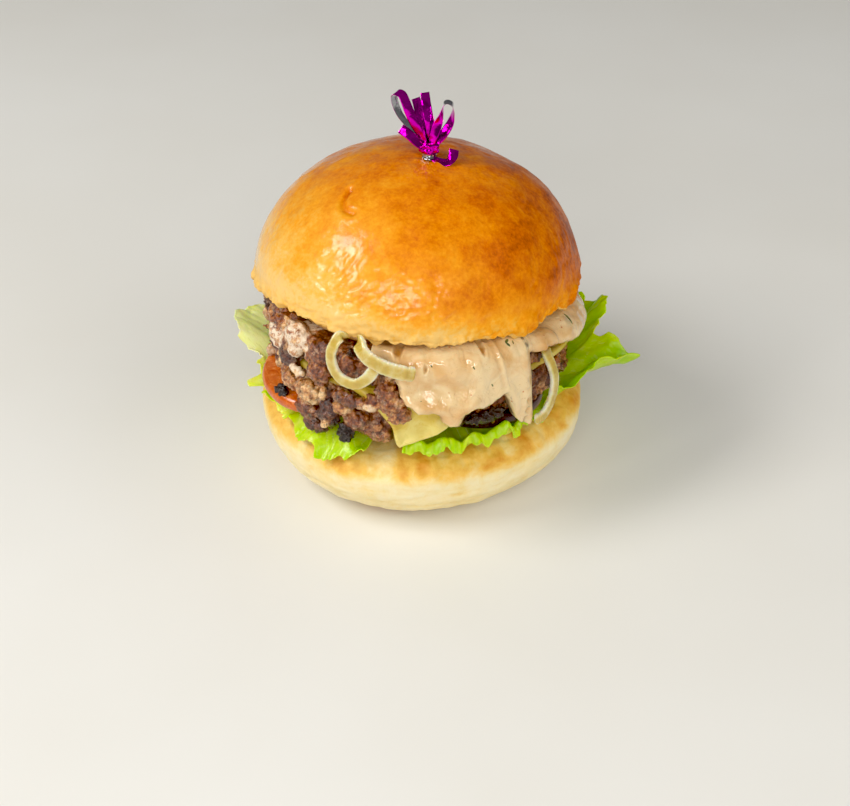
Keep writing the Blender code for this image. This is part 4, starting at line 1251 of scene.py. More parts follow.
@dataclass
class CheeseSlice:
    """A square slice of cheese that has melted over the lower patty, one corner hanging at the front."""

    layers: Layers
    cells: int = 116
    rounding: float = 0.0030
    melted_back: float = 0.17
    rim: float = 0.0015
    slant: float = 0.55

    def draped(self, x: Array, y: Array) -> tuple[Array, Array]:
        """Where spots of the flat slice lie, and which way its upper face looks there."""
        layers = self.layers
        angle, radius = np.degrees(np.arctan2(y, x)), np.hypot(x, y)
        left = signed(layers.cheese_turn - angle)
        drawn = 0.0026 * eased((left - 1) / 6) - 0.0014 * within(left, -9, 8)
        over = np.maximum(radius - layers.cheese_edge_radius - drawn, 0.0)
        bend = np.minimum(over / layers.cheese_bend, math.pi / 2)
        hang = np.maximum(over - layers.cheese_bend * math.pi / 2, 0.0)
        out = np.minimum(radius, layers.cheese_edge_radius) + layers.cheese_bend * np.sin(bend) + hang * 0.06
        # The hanging corner has slid to the left as it melted
        angle = angle - self.slant * hang / MM
        spot = polar(angle, out, layers.cheese_low - layers.cheese_bend * (1 - np.cos(bend)) - hang)
        return spot, polar(angle, np.sin(bend), np.cos(bend))

    def build(self, cheese: Material) -> None:
        """Makes the slice.

        Args:
            cheese: Its finish.
        """
        layers = self.layers
        side = np.linspace(-1, 1, self.cells + 1)
        side = np.sin(side * math.pi / 2) * 0.35 + side * 0.65
        u, v = np.meshgrid(side, side, indexing="ij")
        side_corner = (u * v > 0) * np.abs(u * v) ** 2.5
        pull = 1 - self.rounding / layers.cheese_side * 2 * (u * v) ** 4 - self.melted_back * side_corner
        flat_u, flat_v = u * pull * layers.cheese_side / 2, v * pull * layers.cheese_side / 2
        turn = math.radians(layers.cheese_turn + 45)
        middle = polar(layers.cheese_turn, layers.cheese_shift, 0.0)
        x = middle[0] + flat_u * math.cos(turn) - flat_v * math.sin(turn)
        y = middle[1] + flat_u * math.sin(turn) + flat_v * math.cos(turn)
        spot, upward = self.draped(x, y)
        rim = (1 - np.maximum(np.abs(u), np.abs(v))) * layers.cheese_side / 2
        rounded = np.sqrt(np.clip(1 - (1 - np.minimum(rim / self.rim, 1)) ** 2, 0, 1))
        hanging = eased((layers.cheese_low - 0.002 - spot[..., 2]) / 0.004)
        bead = 0.0012 * np.exp(-(((rim - 0.0018) / 0.0014) ** 2)) * hanging
        turned = np.degrees(np.arctan2(spot[..., 1], spot[..., 0]))
        bead += 0.0018 * np.exp(-(((turned + 84.5) / 3.6) ** 2) - ((rim - 0.0034) / 0.0030) ** 2) * hanging
        thick = layers.cheese_thickness * (1 - 0.25 * np.maximum(np.abs(u), np.abs(v))) * (0.12 + 0.88 * rounded)
        sunk = 0.00045 * wander(spot, 0.0060, 61, 2) * hanging
        over = spot + upward * (thick + bead + sunk * rounded)[..., None]
        melt = np.clip(0.25 * hanging * wander(spot, 0.008, 62, 2) - 0.10 * hanging, -0.3, 0.3)
        shell = Shell.sheet(lean(spot), lean(over), melt=melt)
        shell.show("cheese_slice_melted", Slot.CHEESE, ["cheese_slice"], cheese)


@dataclass
class Sauce:
    """The sauce under the crown, with the curtain that runs down the front and the right."""

    layers: Layers
    disc_radius: float = 0.0452
    edge_radius: float = 0.0490
    bend: float = 0.0047
    thickness: float = 0.0031
    flat_to: float = 0.0440
    run_rows: int = 74
    fine_step: float = 0.40
    plain_step: float = 2.2
    bead: float = 0.0017
    drift: float = 5.6
    # Middle, half width, lowest and highest level, and how far the sauce is raised over what lies under it
    raised: tuple[tuple[float, float, float, float, float], ...] = (
        (-84, 20, 0.040, 0.0575, 0.0034),
        (-41, 7, 0.055, 0.0665, 0.0038),
        (-19, 20, 0.047, 0.0680, 0.0020),
    )
    # Folds: angle and level at the top and at the bottom, half width and height in millimetres
    folds: tuple[tuple[float, float, float, float, float, float], ...] = (
        (-64.0, 0.0685, -60.2, 0.0540, 0.55, 0.50),
        (-65.6, 0.0685, -61.8, 0.0545, 0.70, -0.30),
        (-76.3, 0.0680, -74.6, 0.0630, 0.30, -0.40),
        (-56.5, 0.0660, -51.6, 0.0400, 2.80, 0.60),
        (-49.4, 0.0680, -50.6, 0.0620, 0.60, 0.35),
        (-81.0, 0.0560, -79.6, 0.0450, 1.8, 0.50),
        (-90.0, 0.0620, -84.0, 0.0560, 2.6, 0.35),
        (-70.0, 0.0600, -68.0, 0.0520, 2.2, 0.40),
    )
    # Pits: angle, level, half size round and upwards, and depth in millimetres
    pits: tuple[tuple[float, float, float, float, float], ...] = (
        (-67.6, 0.0640, 1.1, 1.7, 1.9),
        (-97.6, 0.0640, 1.5, 0.9, 1.5),
        (-88.2, 0.0612, 0.7, 0.6, 1.0),
        (-41.5, 0.0600, 0.9, 0.9, 1.0),
    )

    def floor(self, angle: Array, run: Array) -> tuple[Array, Array]:
        """Where the sauce's underside is, run metres from the axis along the patty, and its outward side."""
        layers = self.layers
        over = np.maximum(run - self.edge_radius, 0.0)
        bend = np.minimum(over / self.bend, math.pi / 2)
        hang = np.maximum(over - self.bend * math.pi / 2, 0.0)
        inside = np.minimum(run, self.edge_radius)
        radius = inside + self.bend * np.sin(bend)
        height = layers.upper_top + GAP + layers.upper_slope * inside * np.cos(np.radians(angle))
        height = height - self.bend * (1 - np.cos(bend)) - hang
        for centre, half, low, high, raised in self.raised:
            near = eased(1.6 - np.abs(signed(angle) - centre) / half * 1.6)
            lifted = raised * near * eased((high - height) / 0.006) * eased((height - low) / 0.004 + 1)
            radius = radius + np.where(over > 0, lifted, 0.0)
        return polar(angle, radius, height), polar(angle, np.sin(bend), np.cos(bend))

    def relief(self, angle: Array, level: Array) -> Array:
        """Folds, pits and slow swells of the curtain, in metres outwards."""
        turn = signed(angle)
        total = 0.00060 * wander(polar(angle, 0.055, level), 0.0110, 71)
        total += 0.00028 * wander(polar(angle, 0.055, level), 0.0040, 72)
        for top_angle, top, low_angle, low, half, height in self.folds:
            share = np.clip((top - level) / (top - low), 0, 1)
            middle = top_angle + (low_angle - top_angle) * share
            away = (turn - middle) * math.radians(1) * 57 / half
            ends = eased((top + 0.003 - level) / 0.003) * eased((level - low + 0.003) / 0.003)
            total += height * MM * np.exp(-(away**2)) * ends
        for middle, high, wide, tall, depth in self.pits:
            away = ((turn - middle) * math.radians(1) * 57 / wide) ** 2 + ((level - high) / MM / tall) ** 2
            total += MM * (0.35 * np.exp(-((np.sqrt(away) - 1.35) ** 2) * 6) - depth * np.exp(-(away**2)))
        return total

    def build(self, sauce: Material) -> None:
        """Makes the sauce.

        Args:
            sauce: Its finish.
        """
        first, last = self.layers.sauce_hem[0][0], self.layers.sauce_hem[-1][0]
        fine = np.linspace(first, last, round((last - first) / self.fine_step) + 1)
        rest = np.linspace(last, first + 360, round((360 - last + first) / self.plain_step) + 1)[1:-1]
        angles = np.concatenate([fine, rest])
        bend_end = self.edge_radius + self.bend * math.pi / 2
        hem = through(self.layers.sauce_hem, fine)[:, 0] + 0.0004 * wander(polar(fine, 0.057, 0.0), 0.0035, 73, 2)
        wall = self.floor(fine, np.full(len(fine), bend_end))[0][:, 2]
        length = np.concatenate([bend_end + np.maximum(wall - hem, -0.004), np.full(len(rest), self.disc_radius)])
        flat_runs = np.linspace(0.006, self.flat_to, 12)[:, None].repeat(len(angles), axis=1)
        share = np.linspace(0, 1, self.run_rows + 1)[1:, None]
        runs = np.concatenate([flat_runs, self.flat_to + (length[None] - self.flat_to) * share])
        grid_angle = np.broadcast_to(angles[None], runs.shape)
        # The long strand at the right runs down at a slant
        sunk = np.clip((runs - self.edge_radius - self.bend) / 0.024, 0, 1) ** 3
        grid_angle = grid_angle + self.drift * sunk * within(signed(grid_angle), -53.0, 9.0)
        spot, outward = self.floor(grid_angle, runs)
        level = self.floor(grid_angle, np.minimum(runs, self.edge_radius))[0][..., 2]
        fill = self.layers.sauce_top - level
        over_edge = eased((runs - self.flat_to) / 0.011)
        thick = fill + (self.thickness - fill) * over_edge
        # The curtain's edge is a rounded bead, so the thickness follows the distance to the hem
        edge = np.column_stack([np.radians(angles) * 0.057, length])
        flat = np.stack([np.radians(grid_angle) * 0.057, runs], axis=-1)
        away = np.full(runs.shape, np.inf)
        for k in range(0, len(angles)):
            away = np.minimum(away, np.hypot(flat[..., 0] - edge[k, 0], flat[..., 1] - edge[k, 1]))
        rounded = np.sqrt(np.clip(1 - (1 - np.minimum(away / self.bead, 1)) ** 2, 0, 1))
        bead = 0.0008 * np.exp(-(((away - 0.0022) / 0.0016) ** 2)) * over_edge
        relief = self.relief(grid_angle, spot[..., 2]) * over_edge * rounded
        # The flap at the right is a thin sheet
        flap = eased((signed(grid_angle) + 50) / 6)
        thick = thick * (0.10 + 0.90 * rounded) * (1 - 0.42 * flap) + bead * (1 - 0.5 * flap)
        over = spot + outward * (thick + relief)[..., None]
        thin = np.clip(0.20 * (0.55 - rounded) + 0.18 * eased((0.0016 - thick) / 0.0016) - 220 * relief, -0.2, 0.5)
        thin += 0.30 * eased((spot[..., 2] - 0.0655) / 0.003) * (grid_angle > -62)
        shell = Shell.sheet(lean(spot), lean(over), closed_ring=True, thin=thin)
        shell.show("sauce_poured", Slot.SAUCE, ["sauce"], sauce)


@dataclass
class TomatoSlice:
    """A slice of tomato: a waxy skin round a wet cut face."""

    name: str
    middle: tuple[float, float]
    radius: float
    layers: Layers
    sides: int = 160
    # The direction in which the slice is longer, and by how much
    oval: tuple[float, float] = (0.0, 0.0)

    def build(self, tomato: Material) -> None:
        """Makes the slice.

        Args:
            tomato: Its finish.
        """
        half = self.layers.tomato_thickness / 2
        angles = np.linspace(0, 360, self.sides, endpoint=False)
        rows, skin = [], []
        for share in np.linspace(0.15, 0.93, 9):
            rows.append((share, -1.0))
            skin.append(0.0)
        for turn in np.linspace(-90, 90, 17):
            rows.append((0.94 + 0.06 * math.cos(math.radians(turn)), math.sin(math.radians(turn))))
            skin.append(1.0 if abs(turn) < 75 else 0.3)
        for share in np.linspace(0.93, 0.15, 9):
            rows.append((share, 1.0))
            skin.append(0.0)
        seed = round(self.radius * 1e5) + round(self.middle[0] * 1e4)
        grid = []
        for share, up in rows:
            ring = polar(angles, self.radius * share, self.layers.tomato_low + half + half * up)
            wave = wander(polar(angles, self.radius, 0.0), 0.012, seed % 97, 2)
            longer = self.oval[1] / self.radius * np.clip(np.cos(np.radians(angles - self.oval[0])), 0, 1) ** 2
            ring[:, :2] *= (1 + (0.012 * wave + longer) * share)[:, None]
            grid.append(ring + np.array([*self.middle, 0.0]))
        grid = np.array(grid)
        dents = 0.00022 * wander(grid, 0.0035, 83, 2)
        grid[..., 2] += dents * (np.abs(np.array(rows)[:, 1]) > 0.99)[:, None]
        rim = np.array(skin)[:, None].repeat(self.sides, axis=1)
        Shell.stacked(lean(grid), rim=rim).show(self.name + "_cut", Slot.TOMATO, [self.name], tomato)


@dataclass
class LettuceLeaf:
    """A torn lettuce leaf: flat in the burger, frilled where it comes out."""

    name: str
    ruffle: float
    margin: tuple[tuple[float, float, float], ...]
    green: float
    green_end: float
    crinkle: float = 0.0013
    thickness: float = 0.0008
    inner_radius: float = 0.008
    bed: float = 0.0318
    clear_radius: float = 0.0500
    swell: float = 0.0007
    wave_length: float = 0.0140
    rows: int = 36
    column_step: float = 0.00050
    bulge: float = 0.0
    rise: float = 1.25

    def build(self, lettuce: Material) -> None:
        """Makes the leaf.

        Args:
            lettuce: Its finish.
        """
        first, last = self.margin[0][0], self.margin[-1][0]
        columns = round(math.radians(last - first) * BUN_RADIUS / self.column_step)
        angles = np.linspace(first, last, columns + 1)
        outs = np.concatenate([[-1.0], -np.linspace(0.9, 0.1, 5), np.linspace(0, 1, self.rows)])
        angle, out = np.meshgrid(angles, outs)
        reach = through(self.margin, angle)
        flat = np.maximum(out, 0.0)
        seed = int(first) % 89
        arc = np.radians(angle) * BUN_RADIUS
        # The frill: lobes about 5 mm wide, cut with teeth of about 1.5 mm
        lobes = wander(np.stack([arc, np.zeros_like(arc), np.zeros_like(arc)], -1), 0.0052, seed, 2)
        teeth = wander(np.stack([arc, np.ones_like(arc), np.zeros_like(arc)], -1), 0.0017, seed + 1, 2)
        depth = reach[..., 0] - self.clear_radius
        length = depth * flat + (0.0015 * lobes + 0.0010 * teeth) * flat**3
        radius = np.where(out >= 0, self.clear_radius + length, 0.0)
        inside = self.clear_radius + (self.inner_radius - self.clear_radius) * -out
        radius = np.where(out >= 0, radius, inside)
        waves = arc / self.wave_length * 2 * math.pi
        waves = waves + 1.6 * wander(np.stack([arc, np.full_like(arc, 3.0), np.zeros_like(arc)], -1), 0.011, seed + 4)
        wave = np.sin(waves) + 0.35 * np.sin(waves * 0.43 + 1.1)
        swell = self.swell * eased(radius / self.clear_radius)
        lifted = eased((reach[..., 1] - self.bed - 0.003) / 0.006)
        rise = 1.25 + (self.rise - 1.25) * lifted
        height = self.bed + (reach[..., 1] - self.bed) * flat**rise + wave * (swell + (self.ruffle - swell) * flat)
        curl = wander(np.stack([arc, radius * 0.4, np.full_like(arc, 2.0)], -1), 0.0042, seed + 2, 2)
        height += curl * self.crinkle * flat**1.4
        blister = wander(np.stack([arc, radius, np.full_like(arc, 5.0)], -1), 0.0030, seed + 3, 2)
        height += blister * 0.00025 * flat + self.bulge * np.sin(np.pi * flat) ** 0.8
        radius += 0.35 * self.ruffle * np.sin(waves * 0.5 + 0.7) * flat
        middle = polar(angle, radius, height)
        half = self.thickness / 2 * (1 - 0.55 * flat)
        up = facing(middle, wrap=False)
        up = up * np.sign(up[..., 2:3] + 1e-9)
        branch = np.abs(((arc / 0.0030 + 0.35 * np.sin(radius * 900) + (reach[..., 0] - radius) * 60) % 1) - 0.5) * 2
        vein = np.clip((branch - 0.80) / 0.20, 0, 1) * (0.35 + 0.65 * (1 - flat))
        share = (angle - first) / (last - first)
        green = self.green + (self.green_end - self.green) * eased(share)
        green = green + 0.14 * flat - 0.14 * (1 - flat) ** 2 + 0.22 * lobes * flat
        values = {"green": green, "vein": vein}
        shell = Shell.sheet(lean(middle - up * half[..., None]), lean(middle + up * half[..., None]), **values)
        shell.show(self.name + "_frilled", Slot.LETTUCE, [self.name], lettuce)


@dataclass
class OnionStrip:
    """A strip of onion softened in fat, hanging out of the stack."""

    name: str
    route: tuple[tuple[float, float, float], ...]
    width: float = 0.0036
    thickness: float = 0.0024
    stations: int = 150
    sides: int = 32

    def build(self, onion: Material) -> None:
        """Makes the strip.

        Args:
            onion: Its finish.
        """
        table = np.array(self.route)
        path = smooth_path(polar(table[:, 0], table[:, 1], table[:, 2]), self.stations)
        ahead = np.gradient(path, axis=0)
        outward = path * [1, 1, 0]
        across = np.cross(ahead, outward)
        share = np.linspace(0, 1, self.stations + 1)
        seed = round(abs(table[0, 0])) % 61
        uneven = wander(np.column_stack([share * 0.05, share * 0, share * 0]), 0.006, seed, 2)
        tip = np.clip(np.minimum(share, 1 - share) / 0.03, 0, 1) ** 0.5
        width = self.width * (1 + 0.10 * uneven) * (0.35 + 0.65 * tip)
        depth = self.thickness * (1 - 0.10 * uneven) * (0.35 + 0.65 * tip)
        rings = swept(path, across, width, depth, self.sides, 2.8)
        turn = 2 * math.pi * (np.arange(self.sides) + 0.5) / self.sides
        # The strip is a little hollow, and its two rims are painted paler as highlights, which leaves its middle darker
        fibre = np.abs(np.cos(turn))[None] ** 3 + 0.25 * uneven[:, None]
        hollow = 0.26 * (np.abs(np.sin(turn)) ** 3)[None, :, None]
        centre = rings.mean(axis=1, keepdims=True)
        length = np.linalg.norm(np.diff(path, axis=0), axis=1).sum()
        lines = np.sin(share * length / 0.0011 * 2 * math.pi + 3 * uneven)[:, None, None]
        ribs = 0.02 * wander(rings, 0.0012, seed + 5)[..., None] + 0.022 * lines
        rings = centre + (rings - centre) * (1 - hollow + ribs)
        brown = np.broadcast_to(0.45 * np.clip(1 - share / 0.16, 0, 1)[:, None], fibre.shape)
        Shell.stacked(lean(rings), fibre=fibre, brown=brown).show(self.name + "_soft", Slot.ONION, [self.name], onion)


@dataclass
class Pick:
    """A turned stick with a frill of metallised ribbons wound round its head."""

    at: tuple[float, float] = (0.0030, -0.0055)
    stick_radius: float = 0.0011
    stick_low: float = 0.0820
    stick_top: float = 0.1160
    band_low: float = 0.1133
    band_waist: float = 0.1150
    band_top: float = 0.1186
    band_radius: float = 0.0032
    waist_radius: float = 0.0021
    film: float = 0.00010
    width: float = 0.0032
    stations: int = 70
    # Each ribbon: x, y, z in mm from the band's top, and its width's direction at the start, middle and end
    ribbons: tuple[tuple, ...] = (
        (((-0.6, -0.4, -1.6), (-3.6, -0.9, 4.6), (-6.2, -0.9, 10.6), (-8.6, -0.6, 16.6), (-11.3, 0.0, 16.4),
          (-10.2, 0.5, 11.0), (-6.2, 0.6, 4.6), (-1.4, 0.4, -1.2)),
         (0.85, -0.5, 0.1), (0.7, 0.7, 0.3), (0.05, 1.0, 0.3)),
        (((-0.4, 0.4, -1.6), (-1.6, 0.3, 4.5), (-3.0, 0.9, 10.0), (-4.2, 1.8, 14.6)),
         (1.0, 0.1, 0.0), (0.9, 0.3, 0.0), (0.8, 0.6, 0.0)),
        (((0.4, 0.2, -1.6), (0.4, -0.2, 5.0), (-0.6, 0.4, 11.2), (-1.3, 2.0, 16.4)),
         (1.0, -0.2, 0.0), (1.0, 0.2, 0.0), (0.9, 0.55, 0.3)),
        (((0.2, -1.2, -1.4), (1.4, -2.2, 3.2), (3.6, -2.0, 9.0), (5.2, -1.2, 13.6), (7.6, 0.2, 12.6),
          (7.4, 1.0, 8.2), (5.0, 0.6, 3.2), (1.2, 0.4, -1.6)), (0.7, -0.6, -0.4), (0.1, 1.0, 0.1), (-0.9, 0.3, 0.4)),
        (((-0.8, -0.9, -1.4), (-3.6, -1.6, 0.8), (-6.6, -2.2, 3.8), (-9.2, -2.0, 5.6)),
         (0.3, 0.8, 0.5), (0.4, 0.5, 0.8), (0.4, 0.35, 0.9)),
        (((0.8, -0.6, -4.6), (3.0, -2.0, -5.2), (5.0, -3.4, -5.4),
          (6.6, -3.4, -5.0), (7.8, -2.2, -3.6), (8.2, -0.8, -2.0)),
         (-0.3, -0.9, -0.2), (-0.2, -0.9, -0.5), (0.3, -0.6, -0.9)),
    )

    def build_stick(self, wood: Material) -> None:
        """Makes the stick, tapered at its lower end and a little uneven.

        Args:
            wood: Its finish.
        """
        levels = np.linspace(self.stick_low, self.stick_top, 60)
        taper = 0.25 + 0.75 * np.clip((levels - self.stick_low) / 0.004, 0, 1)
        angles = np.linspace(0, 360, 28, endpoint=False)
        grid = polar(angles[None], self.stick_radius * taper[:, None], levels[:, None])
        grid *= 1 + 0.02 * wander(grid * [1, 1, 0.1], 0.0007, 91)[..., None] * [1, 1, 0]
        Shell.stacked(lean(grid + [*self.at, 0])).show("pick_stick_turned", Slot.WOOD, ["pick_stick"], wood)

    def ribbon(self, k: int) -> Shell:
        """One ribbon of film, coloured on one face and silver on the other, slightly fluted and creased."""
        route, *widths = self.ribbons[k]
        points = np.array([(self.at[0] + x * MM, self.at[1] + y * MM, self.band_top + z * MM) for x, y, z in route])
        path = smooth_path(points, self.stations)
        share = np.linspace(0, 1, self.stations + 1)[:, None]
        across = through([(place, *way) for place, way in zip((0.0, 0.5, 1.0), widths)], share[:, 0])
        ahead = np.gradient(path, axis=0)
        ahead /= np.linalg.norm(ahead, axis=1, keepdims=True)
        side = across - ahead * (across * ahead).sum(axis=1, keepdims=True)
        side /= np.linalg.norm(side, axis=1, keepdims=True)
        face = np.cross(ahead, side)
        steps = np.linspace(-1, 1, 9)
        pinch = 1 - 0.35 * np.exp(-((share * 10) ** 2)) - 0.35 * np.exp(-(((1 - share) * 10) ** 2)) * (k in (0, 3))
        grid = path[:, None] + side[:, None] * steps[None, :, None] * (self.width / 2 * pinch)[:, None]
        flute = 0.00016 * steps[None] ** 2 + 0.00012 * wander(grid, 0.0034, 93 + k, 2)
        grid = grid + face[:, None] * flute[..., None]
        thin = face[:, None] * self.film / 2
        shell = Shell.sheet(grid - thin, grid + thin)
        quads = self.stations * 8
        shell.second = np.concatenate([np.zeros(quads), np.ones(quads), np.zeros(len(shell.faces) - 2 * quads)])
        return shell

    def band(self) -> Shell:
        """The winding that holds the ribbons, crinkled, with its silver tail below."""
        levels = np.linspace(self.band_low, self.band_top, 36)
        angles = np.linspace(0, 360, 90, endpoint=False)
        share = eased((levels - self.band_waist) / 0.0010)
        radius = self.waist_radius + (self.band_radius - self.waist_radius) * share
        radius *= 1 + 0.06 * eased((self.band_waist - levels) / 0.0015)
        grid = polar(angles[None], radius[:, None], levels[:, None])
        pleat = np.abs(np.sin(np.radians(angles * 3.5 + 20)))[None] * 0.0004
        crush = 0.00045 * wander(grid, 0.0022, 95, 2)
        grid = polar(angles[None], radius[:, None] + crush + pleat - 0.0002, levels[:, None])
        shell = Shell.stacked(grid + [*self.at, 0])
        silver = np.repeat(levels[:-1] < self.band_waist + 0.0002, len(angles))
        shell.second = np.concatenate([silver.astype(float), [1.0, 0.0]])
        return shell

    def build_frill(self, magenta: Material, silver: Material) -> None:
        """Makes the frill.

        Args:
            magenta: The lacquered side.
            silver: The bare side.
        """
        shell = Shell.joined([self.band(), *(self.ribbon(k) for k in range(len(self.ribbons)))])
        shell.points = lean(shell.points)
        shell.show("foil_frill_film", Slot.FOIL, ["foil_frill"], magenta, silver)


@dataclass
class Herbs:
    """Slivers of herb that lie on the sauce."""

    sauce: Sauce
    # Angle and level at both ends, and the half width in millimetres
    slivers: tuple[tuple[float, float, float, float, float], ...] = (
        (-93.2, 0.0548, -90.6, 0.0531, 0.22),
        (-90.7, 0.0532, -89.2, 0.0539, 0.25),
        (-56.4, 0.0644, -58.2, 0.0638, 0.35),
        (-58.0, 0.0640, -57.2, 0.0628, 0.30),
        (-55.0, 0.0640, -55.6, 0.0630, 0.22),
        (-25.4, 0.0640, -27.2, 0.0612, 0.24),
        (-54.6, 0.0428, -52.6, 0.0424, 0.22),
        (-66.2, 0.0560, -65.6, 0.0550, 0.18),
        (-72.6, 0.0610, -72.0, 0.0604, 0.16),
        (-61.5, 0.0668, -60.8, 0.0664, 0.20),
        (-86.4, 0.0622, -85.9, 0.0616, 0.16),
    )

    def build(self, herb: Material) -> None:
        """Makes the slivers.

        Args:
            herb: Their finish.
        """
        bend_end = self.sauce.edge_radius + self.sauce.bend * math.pi / 2
        shells = []
        for first, high, last, low, half in self.slivers:
            share = np.linspace(0, 1, 9)
            angle, level = first + (last - first) * share, high + (low - high) * share
            wall = self.sauce.floor(angle, np.full(9, bend_end))[0][:, 2]
            spot, outward = self.sauce.floor(angle, np.maximum(bend_end + wall - level, self.sauce.edge_radius))
            lift = self.sauce.thickness + self.sauce.relief(angle, level) - 0.00005
            path = spot + outward * lift[:, None]
            across = np.cross(np.gradient(path, axis=0), outward)
            round_off = np.sqrt(np.clip(1 - (2 * share - 1) ** 2, 0.05, 1))
            rings = swept(path, across, half * 2.8 * MM * round_off, 0.00045 * round_off, 8)
            shells.append(Shell.stacked(lean(rings)))
        Shell.joined(shells).show("herb_slivers", Slot.SAUCE, [], herb)


@dataclass
class Studio:
    """A plain pale floor, soft light from the upper left, and the camera."""

    distance: float = 1.1
    lamp_colour: str = "fffdfa"
    lens: float = 72.0
    at: tuple[float, float, float] = (0.001685, -0.48943, 0.38774)
    ahead: tuple[float, float, float] = (0.0, 0.79438, -0.60742)
    up: tuple[float, float, float] = (0.0, 0.60742, 0.79438)

    def build_camera(self) -> None:
        """Places the camera at the photograph's angle."""
        camera = bpy.data.cameras.new("camera")
        camera.lens = self.lens
        camera.sensor_width = 36.0
        camera.sensor_fit = "HORIZONTAL"
        camera.clip_start = 0.01
        camera.dof.use_dof = False
        holder = bpy.data.objects.new("camera", camera)
        ahead, up = Vector(self.ahead), Vector(self.up)
        turned = Matrix((ahead.cross(up), up, -ahead)).transposed()
        holder.matrix_world = Matrix.Translation(self.at) @ turned.to_4x4()
        bpy.context.scene.collection.objects.link(holder)
        bpy.context.scene.camera = holder

    def build_light(
        self,
        name: str,
        way: Sequence[float],
        along: Sequence[float],
        size: tuple[float, float],
        power: float,
        mirrored: bool = True,
    ) -> None:
        """Hangs a rectangular soft light that looks at the burger.

        Args:
            name: Its name.
            way: The direction in which it hangs.
            along: The direction of its long side.
            size: Its short and long sides.
            power: Its power in watts.
            mirrored: Whether glossy surfaces show it.
        """
        lamp = bpy.data.lights.new(name, "AREA")
        lamp.shape = "RECTANGLE"
        lamp.size, lamp.size_y = size
        lamp.energy = power
        lamp.color = linear(self.lamp_colour)[:3]
        holder = bpy.data.objects.new(name, lamp)
        holder.visible_glossy = mirrored
        back = Vector(way).normalized()
        side = Vector(along).cross(back).normalized()
        turned = Matrix((side, back.cross(side), back)).transposed()
        holder.matrix_world = Matrix.Translation(back * self.distance + Vector((0, 0, 0.07))) @ turned.to_4x4()
        bpy.context.scene.collection.objects.link(holder)

    def build(self) -> None:
        """Makes the floor, the lights and the world."""
        board = bpy.data.meshes.new("floor")
        side, steps = 2.4, 12
        grid = np.linspace(-side, side, steps)
        x, y = np.meshgrid(grid, grid)
        z = np.zeros_like(x)
        board.from_pydata(np.stack([x, y, z], -1).reshape(-1, 3).tolist(), [], ring_faces(steps, steps, False).tolist())
        board.materials.append(PaintedBoard("painted_board_floor", roughness=0.55).make())
        floor = bpy.data.objects.new("floor", board)
        bpy.context.scene.collection.objects.link(floor)
        self.build_light("key_window", (-0.68, -0.16, 0.70), (0.39, 0.78, 0.50), (0.30, 0.62), 8.2)
        self.build_light("front_screen", (0.0, -0.85, 0.50), (1, 0, 0), (1.3, 2.0), 5.2, mirrored=False)
        self.build_light("side_window", (-0.72, -0.62, 0.30), (0, 0, 1), (0.12, 0.34), 1.3)
        self.build_light("front_window", (-0.10, -0.80, 0.46), (1, 0, 0), (0.14, 0.62), 3.2)
        self.build_light("right_fill", (0.75, -0.30, 0.50), (0, 1, 0), (0.9, 1.2), 5.4, mirrored=False)
        world = bpy.data.worlds.new("studio")
        world.use_nodes = True
        world.node_tree.nodes["Background"].inputs["Color"].default_value = linear("f2f2f0")
        world.node_tree.nodes["Background"].inputs["Strength"].default_value = 0.21
        bpy.context.scene.world = world
        view = bpy.context.scene.view_settings
        view.view_transform = "Standard"
        # The photograph's blacks are deep, as after a camera's usual contrast curve
        view.use_curve_mapping = True
        view.curve_mapping.black_level = (0.013, 0.013, 0.013)
        view.curve_mapping.update()
        view.exposure = -0.11
        self.build_camera()


LEAVES = (
    LettuceLeaf(
        "lettuce_leaf_left", 0.0017,
        ((149, 0.057, 0.0340), (158, 0.063, 0.0405), (168, 0.0680, 0.0455), (176, 0.0640, 0.0420),
         (184, 0.0572, 0.0350), (190, 0.0562, 0.0345), (193, 0.0618, 0.0345), (196, 0.0568, 0.0335),
         (206, 0.0556, 0.0322), (217, 0.0558, 0.0312), (226, 0.0570, 0.0296), (236, 0.0582, 0.0276),
         (243, 0.0578, 0.0285), (250, 0.0560, 0.0340)),
        # The left leaf starts paler than the others: painted light that brightens the lobe at its left end, which the
        # lamps only graze
        -0.20, 0.56, crinkle=0.0010, rise=0.62,
    ),
    LettuceLeaf(
        "lettuce_leaf_front", 0.0013,
        ((264, 0.0550, 0.0335), (272, 0.0560, 0.0330), (280, 0.0555, 0.0342), (290, 0.0550, 0.0345),
         (302, 0.0560, 0.0348), (311, 0.0550, 0.0345)),
        0.50, 0.50, crinkle=0.0026, bulge=0.0036, wave_length=0.0105,
    ),
    LettuceLeaf(
        "lettuce_leaf_right", 0.0022,
        ((317, 0.0510, 0.0322), (329, 0.0514, 0.0335), (336, 0.0545, 0.0385), (343, 0.0610, 0.0425),
         (348, 0.0700, 0.0438), (352, 0.0755, 0.0440), (356, 0.0705, 0.0435), (361, 0.0622, 0.0430),
         (366, 0.0640, 0.0465), (373, 0.0675, 0.0500), (382, 0.0650, 0.0460), (392, 0.0600, 0.0380),
         (402, 0.0570, 0.0330)),
        0.50, 0.42, crinkle=0.0020,
    ),
    LettuceLeaf(
        "lettuce_leaf_back", 0.0019,
        ((407, 0.0560, 0.0325), (420, 0.0610, 0.0350), (436, 0.0590, 0.0330), (455, 0.0640, 0.0370),
         (472, 0.0600, 0.0340), (490, 0.0620, 0.0360), (504, 0.0570, 0.0330)),
        0.45, 0.40,
    ),
)
